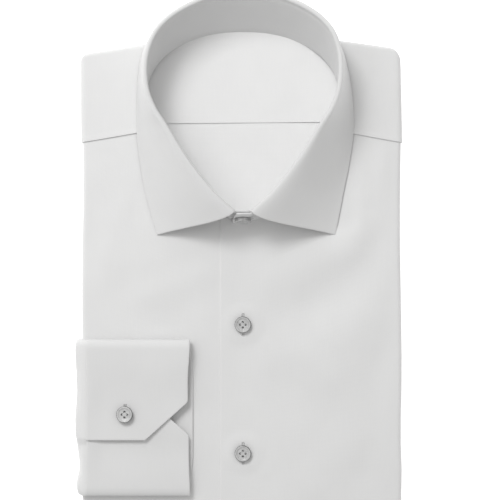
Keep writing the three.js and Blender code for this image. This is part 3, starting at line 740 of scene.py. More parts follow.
# %% Yoke
def yoke_grid():
    """The yoke's outside: over the shoulder fold, and round both sides."""
    half = np.concatenate([np.arange(0, SIDE_START - 1, GRID_STEP), SIDE_COLUMNS,
                           np.linspace(SIDE_END, FLAP_END, 14)[1:]])
    columns = np.concatenate([-half[:0:-1], half])
    plan = across(columns, 0.0)[0]
    seam = front_seam(np.clip(columns, -HALF_WIDTH, HALF_WIDTH)) - SEAM_LAP
    flat_end = shoulder_y(plan) - SHOULDER_RADIUS
    rows = []

    def add_row(y, depth, folds=()):
        x, height = across(columns, depth)
        lift = np.zeros_like(x)
        if folds:
            waves = YOKE_WAVES["height"] * slow_noise(x, y, YOKE_WAVES["size"], 9.5)
            lift = fold_height(x, y, folds) + waves
            lift = lift * smoothstep(np.abs(x), SIDE_START + 4, SIDE_START - 12)
            lift = lift * smoothstep(np.abs(x), 76, 86)
            lift = lift * smoothstep(y - seam, 0, 10) * smoothstep(flat_end - y, 0, 10)
        rows.append(points_at(wavy_sides(x, y), y, BODY_HEIGHT + height + lift))

    shares = [*SEAM_SHARES, *np.linspace(0.115, 1, 32)]
    for share in shares:
        y = seam + share * (flat_end - seam)
        add_row(y, -SEAM_RISE * smoothstep(y - seam, 4.5, 1.0), YOKE_FOLDS)
    for turn in np.linspace(0, math.pi, 11)[1:]:
        add_row(flat_end + SHOULDER_RADIUS * math.sin(turn), SHOULDER_RADIUS * (1 - math.cos(turn)))
    for share in np.linspace(0, 1, 26)[1:]:
        add_row(flat_end + share * (BACK_SEAM_Y - flat_end), 2 * SHOULDER_RADIUS)
    return np.stack(rows), len(shares) + 5


yoke_points, yoke_top_rows = yoke_grid()
yoke_keep = cut_neck(yoke_points, slice(0, yoke_top_rows), YOKE_CUT_STEP)
yoke = report(single_cloth("cloth_yoke", yoke_points, YOKE_CLOTH, (0, 0, -1), yoke_keep))

# %% [markdown]
# ## The back, inside the neck
# Through the neck the inside of the yoke shows, then its seam, and below it the inside of the
# back. The yoke is two layers with a turned edge, so it stands above the back and throws a
# thin shadow on it. It is a short panel of its own here, laid on the yoke's lower layer.

# %% Inner yoke
BACK_TOP = BODY_HEIGHT - BACK_DEPTH
THIN_CLOTH = 0.6  # one ply of poplin, which is really 0.2 mm, drawn thicker
UNDER_COLLAR_Y = 167.0  # where the inner yoke ends, under the collar stand
EDGE_STEPS = np.array([0.0, 0.3, 0.6, 0.9, 1.3])  # closer columns at the edge
SEAM_STEPS = np.array([0.4, 0.7, 1.2, 2.0, 3.2])  # closer rows at the seam with the back
INNER_LIFT = 0.6  # how far it stands above the back
SEAM_SLANT = 0.5  # how far the seam climbs over 60 mm
INNER_FOLDS = table(
    "from_x from_y to_x to_y width height",
    (-40, 142, -52, 118, 10, 0.25), (34, 150, 20, 122, 14, 0.3), (-12, 150, -6, 112, 14, -0.25),
)


def inner_yoke():
    """The yoke's inner layer, from the back seam up to under the collar stand."""
    turn = np.linspace(0.02, math.pi / 2, 200)
    edge_x, edge_y = neck_point(turn, 0.4)
    rows = []
    far_rows = np.linspace(BACK_SEAM_Y + 5, UNDER_COLLAR_Y, 44)
    for y in np.concatenate([BACK_SEAM_Y + SEAM_STEPS, far_rows]):
        half = np.interp(y, edge_y[::-1], edge_x[::-1]) if y > NECK_CENTRE_Y else NECK_HALF + 0.4
        middle = np.linspace(-half + 2, half - 2, 79)
        x = np.unique(np.concatenate([middle, half - EDGE_STEPS, EDGE_STEPS - half]))
        lift = fold_height(x, np.full_like(x, y), INNER_FOLDS)
        lift = lift * smoothstep(y, BACK_SEAM_Y, BACK_SEAM_Y + 14) + INNER_LIFT
        lift = lift * smoothstep(half - np.abs(x), 0.1, 1.2)
        lift = lift * smoothstep(y, UNDER_COLLAR_Y, UNDER_COLLAR_Y - 1.2)
        slant = SEAM_SLANT * (x / 60.0) * smoothstep(y, 112, 100)
        rows.append(points_at(x, y + slant, BACK_TOP - 0.1 + lift))
    return single_cloth("cloth_inner_yoke", np.stack(rows), THIN_CLOTH, (0, 0, 1))


inner_yoke_piece = report(inner_yoke())

# %% Inside of the back
BACK_WAVES = {"height": 0.3, "size": 38.0}
BACK_SUNK = 0.25


def back_inside():
    """The back as one flat layer with soft folds where it shows."""
    x = np.arange(-108.0, 108.1, 3.0)
    rows = []
    for y in np.linspace(BACK_SEAM_Y + 0.6, BEND_Y + 10, 90):
        waves = BACK_WAVES["height"] * slow_noise(x, np.full_like(x, y), BACK_WAVES["size"], 5.5)
        lift = (waves - BACK_SUNK) * smoothstep(y, 20, 40)
        rows.append(points_at(x, y, BACK_TOP + lift))
    return single_cloth("cloth_back", np.stack(rows), CLOTH, (0, 0, 1))


back = report(back_inside())

# %% [markdown]
# ## Hidden layers
# Between the outside and the back lie the layers that nobody sees until the shirt is lifted:
# the rest of the back, folded once with the body. Their ends show as a stack of thin edges at
# the hem, so they are thin sheets, each a little shorter than the one outside it.

# %% Folded layers
LAYERS = table(
    "top_depth tail_depth short",
    (4.1, 3.0, 0.0), (5.3, 4.4, 3.5), (6.4, 5.8, 7.0),
)
LAYER_WAVES = {"height": 0.25, "size": 17.0}
INSET, INSET_STEP = 2.6, 0.4  # how far a layer's edge lies inside the side fold, and the next's


def folded_layer(layer, number):
    """One sheet of the stack, from under the yoke round the bottom fold to near the hem."""
    reach = HALF_WIDTH - PLY - GAP - INSET - INSET_STEP * number
    x = np.linspace(-reach, reach, 60)
    start = BACK_SEAM_Y - 3.0 - layer["short"]
    run = start - BEND_Y
    tail = HEM_Y - 3.5 - layer["short"] - BEND_Y
    bend_end = run + BEND_LENGTH
    stations = np.concatenate([np.linspace(0, run, 60), run + np.linspace(0, BEND_LENGTH, 19)[1:],
                               bend_end + np.linspace(0, tail, 60)[1:]])
    rows = []
    for at in stations:
        y, z, ny, nz = along(at, start)
        depth = np.interp(at, [run, bend_end], [layer["top_depth"], layer["tail_depth"]])
        wave = LAYER_WAVES["height"] * np.sin(x / LAYER_WAVES["size"] + number)
        depth = depth + wave * smoothstep(at, bend_end + tail * 0.5, bend_end + tail)
        rows.append(points_at(x, y - ny * depth, z - nz * depth))
    return single_cloth(f"cloth_layer_{number}", np.stack(rows), THIN_CLOTH, (0, 0, 1))


layers = [report(folded_layer(layer, k + 1)) for k, layer in enumerate(LAYERS)]

# %% [markdown]
# ## Collar stations
# A shirt collar is two pieces: the stand, a band that rises from the neckline, and the leaf,
# which turns over its top edge and falls outside it. Both are lofted from the same stations.
# The crest of the roll and the leaf's outer edge are short tables, from the centre back to
# the front, and the foot of the stand follows the neckline.

# %% Sizes of the collar
STAND_WALL, LEAF_WALL = 1.5, 1.35
CREST_RADIUS, ROLL_LEG = 1.1, 3.0
STAND_OVERLAP = 7.5
FOOT_SUNK = 0.9  # how far the stand's lower edge is sewn into the neckline
FOOT_CLIMBS = (0.45, 0.95)  # turns between which it climbs from the back to the fronts
SEWN_IN = 1.2  # how far the leaf's seam goes into the stand
STAND_LIFT = (STAND_WALL + GAP) / 2  # each end moves so far to let the other pass
ROLL_OPENS = (0.5, 0.85)  # from a tight roll behind to an open one in front
OPEN_LEAVING = 0.42  # how level the open roll leaves the crest, as a share of the fall

# nearer is how much closer to the centre the crest is on the right front's side
CREST = table(
    "x y z nearer",
    (0, 191.3, 53, 0), (16.2, 189.9, 53.4, 1.8), (31.4, 185.4, 54.3, 3.3),
    (45.3, 178.8, 55.6, 3.2), (56.0, 170.8, 56.8, 2.5), (63.1, 161.8, 57.9, 1.8),
    (67.5, 149.3, 58.8, 0.8), (68.7, 137.7, 59.2, 0.2), (67.3, 121.5, 59.0, 0),
    (62.6, 108.7, 58.4, 0), (54.7, 96.2, 57.3, 0), (40.0, 72.3, 54.8, 0),
    (21.2, 48.7, 51.6, 0), (6.7, 35.3, 49.0, 0),
)
# further is how much further out the leaf lies on the left front than on the right one
LEAF_EDGE = table(
    "x y z further",
    (0, 186, 10, 0), (25, 183, 10, 0), (47, 175.5, 11.5, 0), (62, 166.0, 17.5, 0),
    (67.6, 160.4, 21.9, 0), (71.4, 153.6, 22.3, -0.2), (74.2, 142.9, 22.3, 0.3),
    (76.2, 122.8, 22.3, 2.1), (76.5, 96.1, 22.2, 3.1), (74.3, 73.1, 22.0, 2.5),
    (70.0, 48.6, 22.0, 2.0), (61.8, 19.8, 22.0, 4.7),
)
print("stations:", len(CREST), "on the crest,", len(LEAF_EDGE), "on the leaf's edge")

# %% Collar stations
def collar_line(rows, moved=None, sign=0):
    """A smooth line through the stations, each moved out by what its row says."""
    return smooth_line([(r["x"] + sign * r.get(moved, 0), r["y"], r["z"]) for r in rows])


crest_lines = {-1: collar_line(CREST, "nearer", -1), 1: collar_line(CREST)}
leaf_lines = {-1: collar_line(LEAF_EDGE), 1: collar_line(LEAF_EDGE, "further", 1)}
foot_turn = np.linspace(0, math.pi, 241)
foot_x, foot_y = neck_point(foot_turn)
foot_rest = (BODY_HEIGHT - BACK_DEPTH) + BACK_DEPTH * smoothstep(foot_turn, *FOOT_CLIMBS)
foot_line = points_at(foot_x, foot_y, foot_rest + GAP - FOOT_SUNK)


def level_out(line, shares):
    """The level direction outwards across a line that runs from the back to the front."""
    places = np.linspace(0, 1, 400)
    t = between(shares, places, tangents(at_share(line, places)))
    out = points_at(-t[:, 1], t[:, 0], 0.0)
    return out / np.linalg.norm(out, axis=1)[:, None]


def collar_stations(shares, side=1):
    """Crest, outward direction, foot, leaf edge, inner side of the roll and the way down."""
    crest, foot = at_share(crest_lines[side], shares), at_share(foot_line, shares)
    edge = at_share(leaf_lines[side], shares)
    out = level_out(crest_lines[side], shares)
    foot = foot - level_out(foot_line, shares) * STAND_WALL / 2
    lean = crest - foot
    foot[:, 2] += STAND_WALL / 2 * np.hypot(lean[:, 0], lean[:, 1]) / np.linalg.norm(lean, axis=1)
    inner = crest - out * CREST_RADIUS - [0, 0, CREST_RADIUS]
    down = foot - inner
    return crest, out, foot, edge, inner, down / np.linalg.norm(down, axis=1)[:, None]


round_the_roll = sum(lengths_along(line)[-1] for line in crest_lines.values())
print("collar round its roll:", round(round_the_roll), "mm")

# %% [markdown]
# ## Collar leaf
# The leaf is two layers of poplin fused to a stiff interlining. It leaves the stand's top edge
# upwards, rolls over with a small radius, then falls in a slightly hollow sweep to its edge.
# Its points lie almost on the shirt, and near the front the fall is short and steep.

# %% Leaf
LEAF_THINNED = 0.6  # the leaf's outer edge, as a share of its thickness
LEAVING, LEAVING_DOWN = 0.8, 0.2  # how a tight roll sets out: towards the edge, and down
ARRIVING = [1, 1, 0.75]  # less steep than the straight way, so the leaf lies down at its edge


def hermite(p0, m0, p1, m1, t):
    """A smooth curve from p0 to p1 with those directions at its ends."""
    return ((2 * t**3 - 3 * t**2 + 1) * p0 + (t**3 - 2 * t**2 + t) * m0
            + (3 * t**2 - 2 * t**3) * p1 + (t**3 - t**2) * m1)


def leaf_side(side, count=110):
    """One half of the leaf's middle, from its seam with the stand over the roll to its edge."""
    shares = np.linspace(0, 1, count)
    crest, out, _, edge, inner, down = collar_stations(shares, side)
    centre = crest - [0, 0, CREST_RADIUS]

    def roll(start, end):
        turns = np.linspace(start, end, 6)
        return [centre + out * (CREST_RADIUS * math.cos(t)) + [0, 0, CREST_RADIUS * math.sin(t)]
                for t in turns]

    def falling(start, leaving, places):
        arriving = (edge - start) * ARRIVING
        return [hermite(start, leaving, edge, arriving, t) for t in places]

    places = np.linspace(0, 1, 27)[1:]
    inside = [inner + down * leg for leg in (ROLL_LEG, ROLL_LEG / 2)]
    inside += roll(math.pi, math.pi / 2)
    tight = roll(math.pi / 2, 0)[1:]
    fall = edge - tight[-1]
    steep = fall * LEAVING - [0, 0, LEAVING_DOWN] * np.linalg.norm(fall, axis=1)[:, None]
    tight += falling(tight[-1], steep, places)
    level = out * OPEN_LEAVING * np.linalg.norm(edge - crest, axis=1)[:, None]
    first = np.linspace(0, 0.2, 6)[1:]
    opened = falling(crest, level, [*first, *np.linspace(0.2, 1, 27)[1:]])
    share_open = smoothstep(shares, *ROLL_OPENS)[:, None]
    outside = [a + (b - a) * share_open for a, b in zip(tight, opened)]
    return np.stack(inside + outside, axis=1) * [side, 1, 1]


def leaf_grid():
    """The whole leaf, from the front of the right side round the back to the left side."""
    return np.concatenate([leaf_side(-1)[:0:-1], leaf_side(1)])


leaf = report(sewn_wall("collar_leaf_cloth", leaf_grid(), LEAF_WALL, (0, 1, 0.3),
                        thinned=LEAF_THINNED))

# %% [markdown]
# ## Collar stand
# The band stands on the neckline and leans out at the back and in at the front. Its two ends
# pass each other at the centre front, the left end outside, where the collar button holds
# them. Each end's top corner is rounded.

# %% Stand
END_SHARES = (0.12, 0.25, 0.4, 0.55, 0.68, 0.8, 0.88, 0.94, 0.98, 1.0)
CORNER_DROP, CORNER_POWER = 0.75, 2.4  # how low and how fast the rounded corner falls
ENDS_PART = (0.82, 0.94)  # where along each half the two ends begin to pass each other


def stand_end(side, foot, top):
    """The straight end of the stand past the centre front, with its rounded corner."""
    columns = []
    for share in END_SHARES:
        x = foot[0] + (-side * STAND_OVERLAP - foot[0]) * share
        height = 1 - CORNER_DROP * max(0.0, (share - 0.5) / 0.5) ** CORNER_POWER
        low = np.array([x, foot[1], foot[2]])
        high = np.array([x, top[1], top[2]])
        columns.append((low, low + (high - low) * height))
    return columns


def stand_grid(count=70, heights=10):
    """The middle of the stand, from its right end round the neck to its left end."""
    shares = np.linspace(0, 1, count)
    sides = {}
    for side in (1, -1):
        _, _, foot, _, inner, down = collar_stations(shares, side)
        top = inner + down * (ROLL_LEG - SEWN_IN)
        apart = smoothstep(shares, *ENDS_PART)[:, None] * [0, STAND_LIFT * side, 0]
        mirror = [side, 1, 1]
        pairs = list(zip(foot * mirror - apart, top * mirror - apart))
        sides[side] = pairs + stand_end(side, *pairs[-1])
    columns = sides[-1][::-1] + sides[1][1:]
    share = np.linspace(0, 1, heights)[:, None]
    return np.stack([low + (high - low) * share for low, high in columns])


stand = report(sewn_wall("collar_stand_cloth", stand_grid(), STAND_WALL, (0, 1, -0.3)))

# %% [markdown]
# ## Right cuff
# The cuff is a stiff band buttoned into a flat tube: it starts under the button, runs down
# round the lower fold, back along the body, over the upper fold and down again over its own
# beginning. Both ends have a corner cut off at an angle.

# %% Sizes of the cuff
CUFF_WALL = 1.4
CUFF = {"top": -55.1, "bottom": -167.4, "left": -112.0, "fold_right": -38.0, "over_right": -39.7,
        "inner_right": -35.6, "height": 9.4, "over_end": -127.2, "under_end": -96.5}
CUFF_INSET = 0.75  # from the cuff's outside to the middle of its wall
MITRE_X, MITRE_Y = 30.6, 27.3  # across and along the cuff, the corner that is cut off
UNDER_DROP = 1.8  # the end that laps under lies this much lower
LOW_FOLD, HIGH_FOLD = 1.9, 1.5  # how much longer than high half of each fold is
# shallow hollows across the top layers, the second one only in the end that laps under
CUFF_HOLLOWS = table("y half_width depth", (-97.0, 19.0, 1.3), (-133.0, 16.0, 1.8))


def cuff_sag(x, y, laps_under=False):
    """How far the upper layers of the cuff sink between its folds, away from the sleeve."""
    depth = 0.0
    for hollow in CUFF_HOLLOWS if laps_under else CUFF_HOLLOWS[:1]:
        away = (y - hollow["y"]) / hollow["half_width"]
        depth = depth + hollow["depth"] * np.exp(-(away**2))
    return depth * smoothstep(x, CUFF["left"], CUFF["left"] + 14)


# %% Cuff
def cuff_line():
    """The band's line in the Y and Z plane, from its lower end to the end that laps over."""
    foot = BODY_HEIGHT + GAP + CUFF_INSET
    over = BODY_HEIGHT + GAP + CUFF["height"] - CUFF_INSET
    under = over - UNDER_DROP

    def arc(y, low, high, start, end, longer):
        radius = (high - low) / 2
        turn = np.linspace(start, end, 21)
        return points_at(y + longer * radius * np.sin(turn), low + radius + radius * np.cos(turn))

    def flat(y0, y1, z, count):
        return points_at(np.linspace(y0, y1, count), z)

    low_fold = CUFF["bottom"] + CUFF_INSET + LOW_FOLD * (under - foot) / 2
    high_fold = CUFF["top"] - CUFF_INSET - HIGH_FOLD * (over - foot) / 2
    return np.vstack([
        flat(CUFF["under_end"], low_fold, under, 28)[:-1],
        arc(low_fold, foot, under, 0, -math.pi, LOW_FOLD),
        flat(low_fold, high_fold, foot, 40)[1:-1],
        arc(high_fold, foot, over, math.pi, 0, HIGH_FOLD),
        flat(high_fold, CUFF["over_end"], over, 36)[1:],
    ])


def cuff_grid():
    """The middle of the cuff's wall, its right edge cut back at both ends."""
    line = cuff_line()
    run = lengths_along(line)
    rows = []
    for (y, z), at in zip(line, run):
        height = (z - BODY_HEIGHT - GAP) / CUFF["height"]
        open_right = CUFF["inner_right" if height < 0.5 else "over_right"]
        from_fold = min(CUFF["top"] - y, y - CUFF["bottom"])
        apart = abs(2 * height - 1) * smoothstep(from_fold, 3, 30)
        cut_off = MITRE_X * max(0.0, 1 - min(at, run[-1] - at) / MITRE_Y)
        right = CUFF["fold_right"] + (open_right - CUFF["fold_right"]) * apart - cut_off
        x = np.linspace(CUFF["left"], right, 34)
        sag = cuff_sag(x, y, laps_under=at < run[-1] / 2) * smoothstep(height, 0.4, 0.6)
        rows.append(points_at(x, y, z - sag))
    return np.stack(rows)


cuff = report(sewn_wall("right_cuff_cloth", cuff_grid(), CUFF_WALL, (0, 0, -1)))

# %% [markdown]
# ## Right sleeve
# Only the last stretch of the sleeve shows, where it comes round the left edge and is sewn
# into the cuff. It is a soft flat tube, so its edge bulges between the places where the fold
# was pressed.

# %% Sizes of the sleeve
# stations from inside the fold round the left edge to the cuff: X and Z of the cloth's inner
# and outer side, and how far the folds along it are sunk
SLEEVE = table(
    "inner_x inner_z outer_x outer_z sunk",
    (30, 12.3, 30, 8.7, 0), (-40, 12.3, -40, 8.7, 0), (-104, 12.3, -104, 8.7, 0),
    (-110.5, 12.1, -111.2, 8.7, 0), (-113.6, 13.2, -116.0, 10.9, 0),
    (-114.4, 16.2, -117.6, 15.6, 0), (-114.4, 19.3, -117.8, 21.2, 0),
    (-113.8, 20.9, -117.6, 26.4, 0), (-112.9, 21.4, -115.8, 29.3, 0),
    (-112.0, 21.7, -113.0, 30.3, 0.2), (-110.4, 22.0, -110.4, 29.9, 0.6),
)
BULGES = table(
    "y out",
    (-168, 0.4), (-162, 2.4), (-156, 2.0), (-150, 0.3), (-144, 0.0), (-137, 0.9), (-130, 1.9),
    (-123, 3.2), (-112, 3.4), (-103, 2.6), (-93, 1.9), (-76, 2.6), (-68, 3.3), (-62, 3.4),
    (-55, 2.3),
)
TUBE_WELD = 0.01 * MM


def tube_cloth(name, grid, facing):
    """A closed tube of cloth, given its thickness inwards."""
    closed = np.concatenate([grid, grid[:, :1]], axis=1)
    return single_cloth(name, closed, THIN_CLOTH, facing, weld=TUBE_WELD, crease=60)


# %% Sleeve
def sleeve_ring(low, high, thick):
    """The section of the flat tube: Y and the distance from its inner side."""
    radius = thick / 2
    ring = []
    for centre, other, start, side in ((high, low, math.pi, thick), (low, high, 0, 0.0)):
        ring += [(centre + radius * math.sin(turn), radius + radius * math.cos(turn))
                 for turn in np.linspace(start, start - math.pi, 9)]
        ring += [(y, side) for y in np.linspace(centre, other, 44)[1:-1]]
    return np.array(ring).T


def sleeve_grid():
    """The outside of the sleeve's tube: a ring of points for each station round the edge."""
    rows = np.array([list(station.values()) for station in SLEEVE], float)
    stations = np.concatenate([np.linspace(0, 0.8, 20), np.linspace(0.8, 1, 40)[1:]])
    grid = []
    for ix, iz, ox, oz, sunk in at_share(rows, stations):
        outward = np.array([ox - ix, oz - iz])
        thick = np.linalg.norm(outward)
        outward /= thick
        radius = thick / 2
        y, m = sleeve_ring(CUFF["bottom"] + sunk + radius, CUFF["top"] - sunk - radius, thick)
        turned = smoothstep(-ox, 108, 116) * smoothstep(iz, 21.6, 20.5)
        out = np.interp(y, column_of(BULGES, "y"), column_of(BULGES, "out"))
        m = m + out * turned * (m > radius)
        lower = UNDER_DROP * smoothstep(y, CUFF["over_end"] + 0.2, CUFF["over_end"] - 1.4)
        lower = lower * smoothstep(oz, 20, 29)
        m = m - lower * smoothstep(m, radius, thick)
        grid.append(points_at(ix + outward[0] * m, y, iz + outward[1] * m))
    return np.stack(grid)


sleeve = report(tube_cloth("right_sleeve_cloth", sleeve_grid(), (0, 1, 0)))

# %% [markdown]
# ## Hidden sleeves
# The upper part of this sleeve and the whole left one lie pressed between body and tail, and
# only show from below. Each is a plain flat tube.

# %% Pressed sleeves
HIDDEN_SLEEVES = {
    "right_sleeve_upper": {"from": -106.0, "to": -22.0, "low": -52.0, "high": 139.0},
    "left_sleeve": {"from": 42.0, "to": 109.0, "low": -172.0, "high": 139.0},
}
SLEEVE_LOW, SLEEVE_HIGH = SLAB + GAP, BODY_HEIGHT - SLAB - GAP
SLEEVE_ROOM = 0.15  # left free above and below
SLEEVE_SAG = 0.12


def pressed_sleeve(node, size):
    """A flat tube with round edges, two layers of cloth with a little air between."""
    radius = (SLEEVE_HIGH - SLEEVE_LOW) / 2 - SLEEVE_ROOM
    middle = (SLEEVE_HIGH + SLEEVE_LOW) / 2
    ring = []
    for centre, start in ((size["to"] - radius, math.pi / 2),
                          (size["from"] + radius, -math.pi / 2)):
        ring += [(centre + radius * math.cos(t), middle + radius * math.sin(t))
                 for t in np.linspace(start, start - math.pi, 9)]
    x, z = at_share(np.array(ring + ring[:1]), np.linspace(0, 1, 90))[:-1].T
    rows = [points_at(x, y, z + SLEEVE_SAG * np.sin(y / 19.0 + x / 11.0))
            for y in np.linspace(size["low"], size["high"], 60)]
    return tube_cloth(f"{node}_cloth", np.stack(rows), (0, 0, 1))


hidden = {node: report(pressed_sleeve(node, size)) for node, size in HIDDEN_SLEEVES.items()}

# %% [markdown]
# ## Resin that looks like pearl
# Cast polyester with a pearl filler: glossy, pale grey, with soft cloudy streaks in it that
# never repeat. The rim and the back get a dark grey copy of it, painted shade for the dark outline
# round each button.
# The thread is the shirt's own; in the buttonholes it is darker, painted shade for the slit and
# between the stitches.

# %% Button and thread materials
def pearl_resin(name, dark, light):
    """Polished cast polyester with a faint pearl figure."""
    m = empty_material(name)
    spots = add_node(m, "TexCoord").outputs["Object"]
    streak = add_node(m, "TexNoise", {"Scale": 260.0, "Detail": 3.0, "Distortion": 1.2},
                      Vector=spots)
    tone = add_node(m, "ValToRGB", Fac=streak)
    for stop, colour, place in zip(tone.color_ramp.elements, (dark, light), (0.3, 0.7)):
        stop.color = linear(colour)
        stop.position = place
    shader = add_node(m, "BsdfPrincipled", {"Roughness": 0.28, "IOR": 1.55, "Coat Weight": 0.4,
                                            "Coat Roughness": 0.12}, Base_Color=tone)
    add_node(m, "OutputMaterial", Surface=shader)
    return m


def cotton_thread(name, colour):
    """Spun sewing thread, matt."""
    m = empty_material(name)
    spots = add_node(m, "TexCoord").outputs["Object"]
    twist = add_node(m, "TexNoise", {"Scale": 2500.0, "Detail": 2.0}, Vector=spots)
    tone = add_node(m, "MapRange", {"To Min": 0.92, "To Max": 1.04}, Value=twist)
    base = add_node(m, "Mix", {"Factor": 1.0, 6: linear(colour)}, TINT, i7=tone)
    shader = add_node(m, "BsdfPrincipled", {"Roughness": 0.9, "IOR": 1.5},
                      Base_Color=base.outputs[2])
    add_node(m, "OutputMaterial", Surface=shader)
    return m


resin = pearl_resin("pearl_resin_face", "#AFAFAF", "#CDCDCD")
# a dark grey copy of the resin: painted shade for the button's rim and back
rim_shade_resin = pearl_resin("resin_rim_painted_shade", "#424242", "#5A5A5A")
thread = cotton_thread("white_sewing_thread", "#E2E2E2")
# darker thread for the buttonholes: painted shade for the slit and the gaps between stitches
buttonhole_shade_thread = cotton_thread("buttonhole_thread_painted_shade", "#CBCBCB")
print("buttons and thread:", resin.name, rim_shade_resin.name, thread.name, buttonhole_shade_thread.name)

# %% [markdown]
# ## Buttons
# A shirt button is turned from resin: a flat back, a rounded rim, a shallow dish and four
# holes. It starts as a cylinder. Insets and a push down make the rim and the dish, bevels
# round the edges, and four thin cylinders cut the holes. One button is made, then copied.

# %% Button mesh
BUTTON_RADIUS, BUTTON_THICK = 5.85, 2.4
HOLE_CIRCLE, HOLE_RADIUS = 1.92, 0.82
# from the edge of the face inwards: the rim in two steps, the dish's wall, the dish's floor
FACE_STEPS = table("inset down", (0.55, 0), (0.75, 0), (0.35, 0.55), (0.9, 0.12))
BACK_INSET = 1.2
EDGE_BEVEL = 0.28


def faces_where(piece, test):
    """In edit mode, select the faces whose centre and normal pass the test."""
    edit = bmesh.from_edit_mesh(piece.data)
    for face in edit.faces:
        face.select_set(bool(test(face.calc_center_median(), face.normal)))
    bmesh.update_edit_mesh(piece.data)


def turned_rod(radius, length, sides, x=0.0, y=0.0):
    """A cylinder of that many sides with its middle at half the button's thickness."""
    bpy.ops.object.select_all(action="DESELECT")
    bpy.ops.mesh.primitive_cylinder_add(vertices=sides, radius=radius * MM, depth=length * MM,
                                        location=(x * MM, y * MM, BUTTON_THICK / 2 * MM))
    return bpy.context.active_object


def make_button():
    """A four-hole button on Z = 0 at the origin, in metres, face up."""
    made = turned_rod(BUTTON_RADIUS, BUTTON_THICK, 64)
    made.name = "button_pattern"
    bpy.ops.object.transform_apply(location=True, rotation=True, scale=True)
    bpy.ops.object.mode_set(mode="EDIT")
    bpy.ops.mesh.select_mode(type="FACE")
    faces_where(made, lambda c, n: n.z > 0.9)
    for step in FACE_STEPS:
        bpy.ops.mesh.inset(thickness=step["inset"] * MM)
        bpy.ops.transform.translate(value=(0, 0, -step["down"] * MM))
    faces_where(made, lambda c, n: n.z < -0.9)
    bpy.ops.mesh.inset(thickness=BACK_INSET * MM)
    bpy.ops.object.mode_set(mode="OBJECT")
    apply_modifier(made, "BEVEL", width=EDGE_BEVEL * MM, segments=3, limit_method="ANGLE",
                   angle_limit=math.radians(35))
    for angle in (k * math.pi / 2 for k in range(4)):
        drill = turned_rod(HOLE_RADIUS, 3 * BUTTON_THICK, 20, HOLE_CIRCLE * math.cos(angle),
                           HOLE_CIRCLE * math.sin(angle))
        apply_modifier(made, "BOOLEAN", operation="DIFFERENCE", solver="EXACT", object=drill)
        bpy.data.objects.remove(drill)
    bpy.ops.object.shade_smooth_by_angle(angle=math.radians(40))
    made.data.materials.clear()
    made.data.materials.append(resin)
    made.data.materials.append(rim_shade_resin)
    # the rim and the underside take the dark copy: painted shade for the button's outline
    for face in made.data.polygons:
        outside = Vector(face.center[:2]).length > (BUTTON_RADIUS - 0.3) * MM
        face.material_index = 1 if outside or face.normal.z < -0.3 else 0
    return made


button_pattern = report(make_button())

# %% [markdown]
# ## Where each button sits
# The front buttons lie on the left front, the cuff button on the cuff, and the collar button
# on the steep outer end of the stand. So each gets a place and the direction that it faces.
# A button on its thread never lies quite level, so the flat ones lean a few degrees.

# %% Seat of the collar button
_, _, stand_foot, _, stand_inner, stand_down = (v[0] for v in collar_stations(np.array([1.0])))
stand_top = stand_inner + stand_down * (ROLL_LEG - SEWN_IN)
stand_slope = (stand_top - stand_foot) * [0, 1, 1]
stand_slope /= np.linalg.norm(stand_slope)
stand_normal = np.array([0, -stand_slope[2], stand_slope[1]])
stand_middle = (stand_top + stand_foot) / 2 * [0, 1, 1]
off_the_stand = STAND_LIFT * stand_slope[2] + STAND_WALL / 2 + GAP
collar_place = stand_middle + stand_normal * off_the_stand
print("collar button faces", stand_normal.round(2))

# %% Placed buttons
CUFF_BUTTON = (-84.4, -108.6)
CUFF_TOP = BODY_HEIGHT + GAP + CUFF["height"] - float(cuff_sag(*CUFF_BUTTON))
FRONT_TOP = BODY_HEIGHT + BUTTON_RISE
FRONT_SHANK, CUFF_SHANK = 0.65, 1.2  # the thread between the cloth and a button
UP = (0.0, 0.0, 1.0)
BUTTONS = {
    "front_button_1": {"at": (0, BUTTON_YS[0], FRONT_TOP + FRONT_SHANK),
                       "facing": (-0.075, -0.045, 1.0)},
    "front_button_2": {"at": (0, BUTTON_YS[1], FRONT_TOP + FRONT_SHANK),
                       "facing": (-0.075, -0.04, 1.0)},
    "cuff_button": {"at": (*CUFF_BUTTON, CUFF_TOP + CUFF_SHANK), "facing": (-0.12, 0.09, 1.0)},
    "collar_button": {"at": tuple(collar_place), "facing": tuple(stand_normal)},
}


def seat(button):
    """The matrix that puts a thing made at the origin on that button's seat."""
    turn = Vector((0, 0, 1)).rotation_difference(Vector(button["facing"]))
    return Matrix.Translation(Vector(metres(button["at"]))) @ turn.to_matrix().to_4x4()


buttons = {}
for node, button in BUTTONS.items():
    mesh = button_pattern.data.copy()
    if node == "collar_button":  # seen on edge its rim faces up and is lit, so it gets no painted shade
        mesh.materials[1] = resin
    mesh.transform(seat(button))
    piece = bpy.data.objects.new(f"{node}_resin", mesh)
    bpy.context.scene.collection.objects.link(piece)
    buttons[node] = piece
bpy.data.objects.remove(button_pattern)
print("buttons:", list(buttons))

# %% [markdown]
# ## Thread and stitches
# Every stitch is the same small thing: a short length of thread, round in section, its ends
# sunk in the cloth. One function makes a run of them along pairs of points.

# %% Stitch maker
# rings of one stitch: where along it, how thick as a share, and how far it arches up
STITCH_RINGS = table(
    "share size lift",
    (0.0, 0.35, -0.9), (0.18, 0.9, 0.25), (0.5, 1.0, 0.6), (0.82, 0.9, 0.25), (1.0, 0.35, -0.9),
)


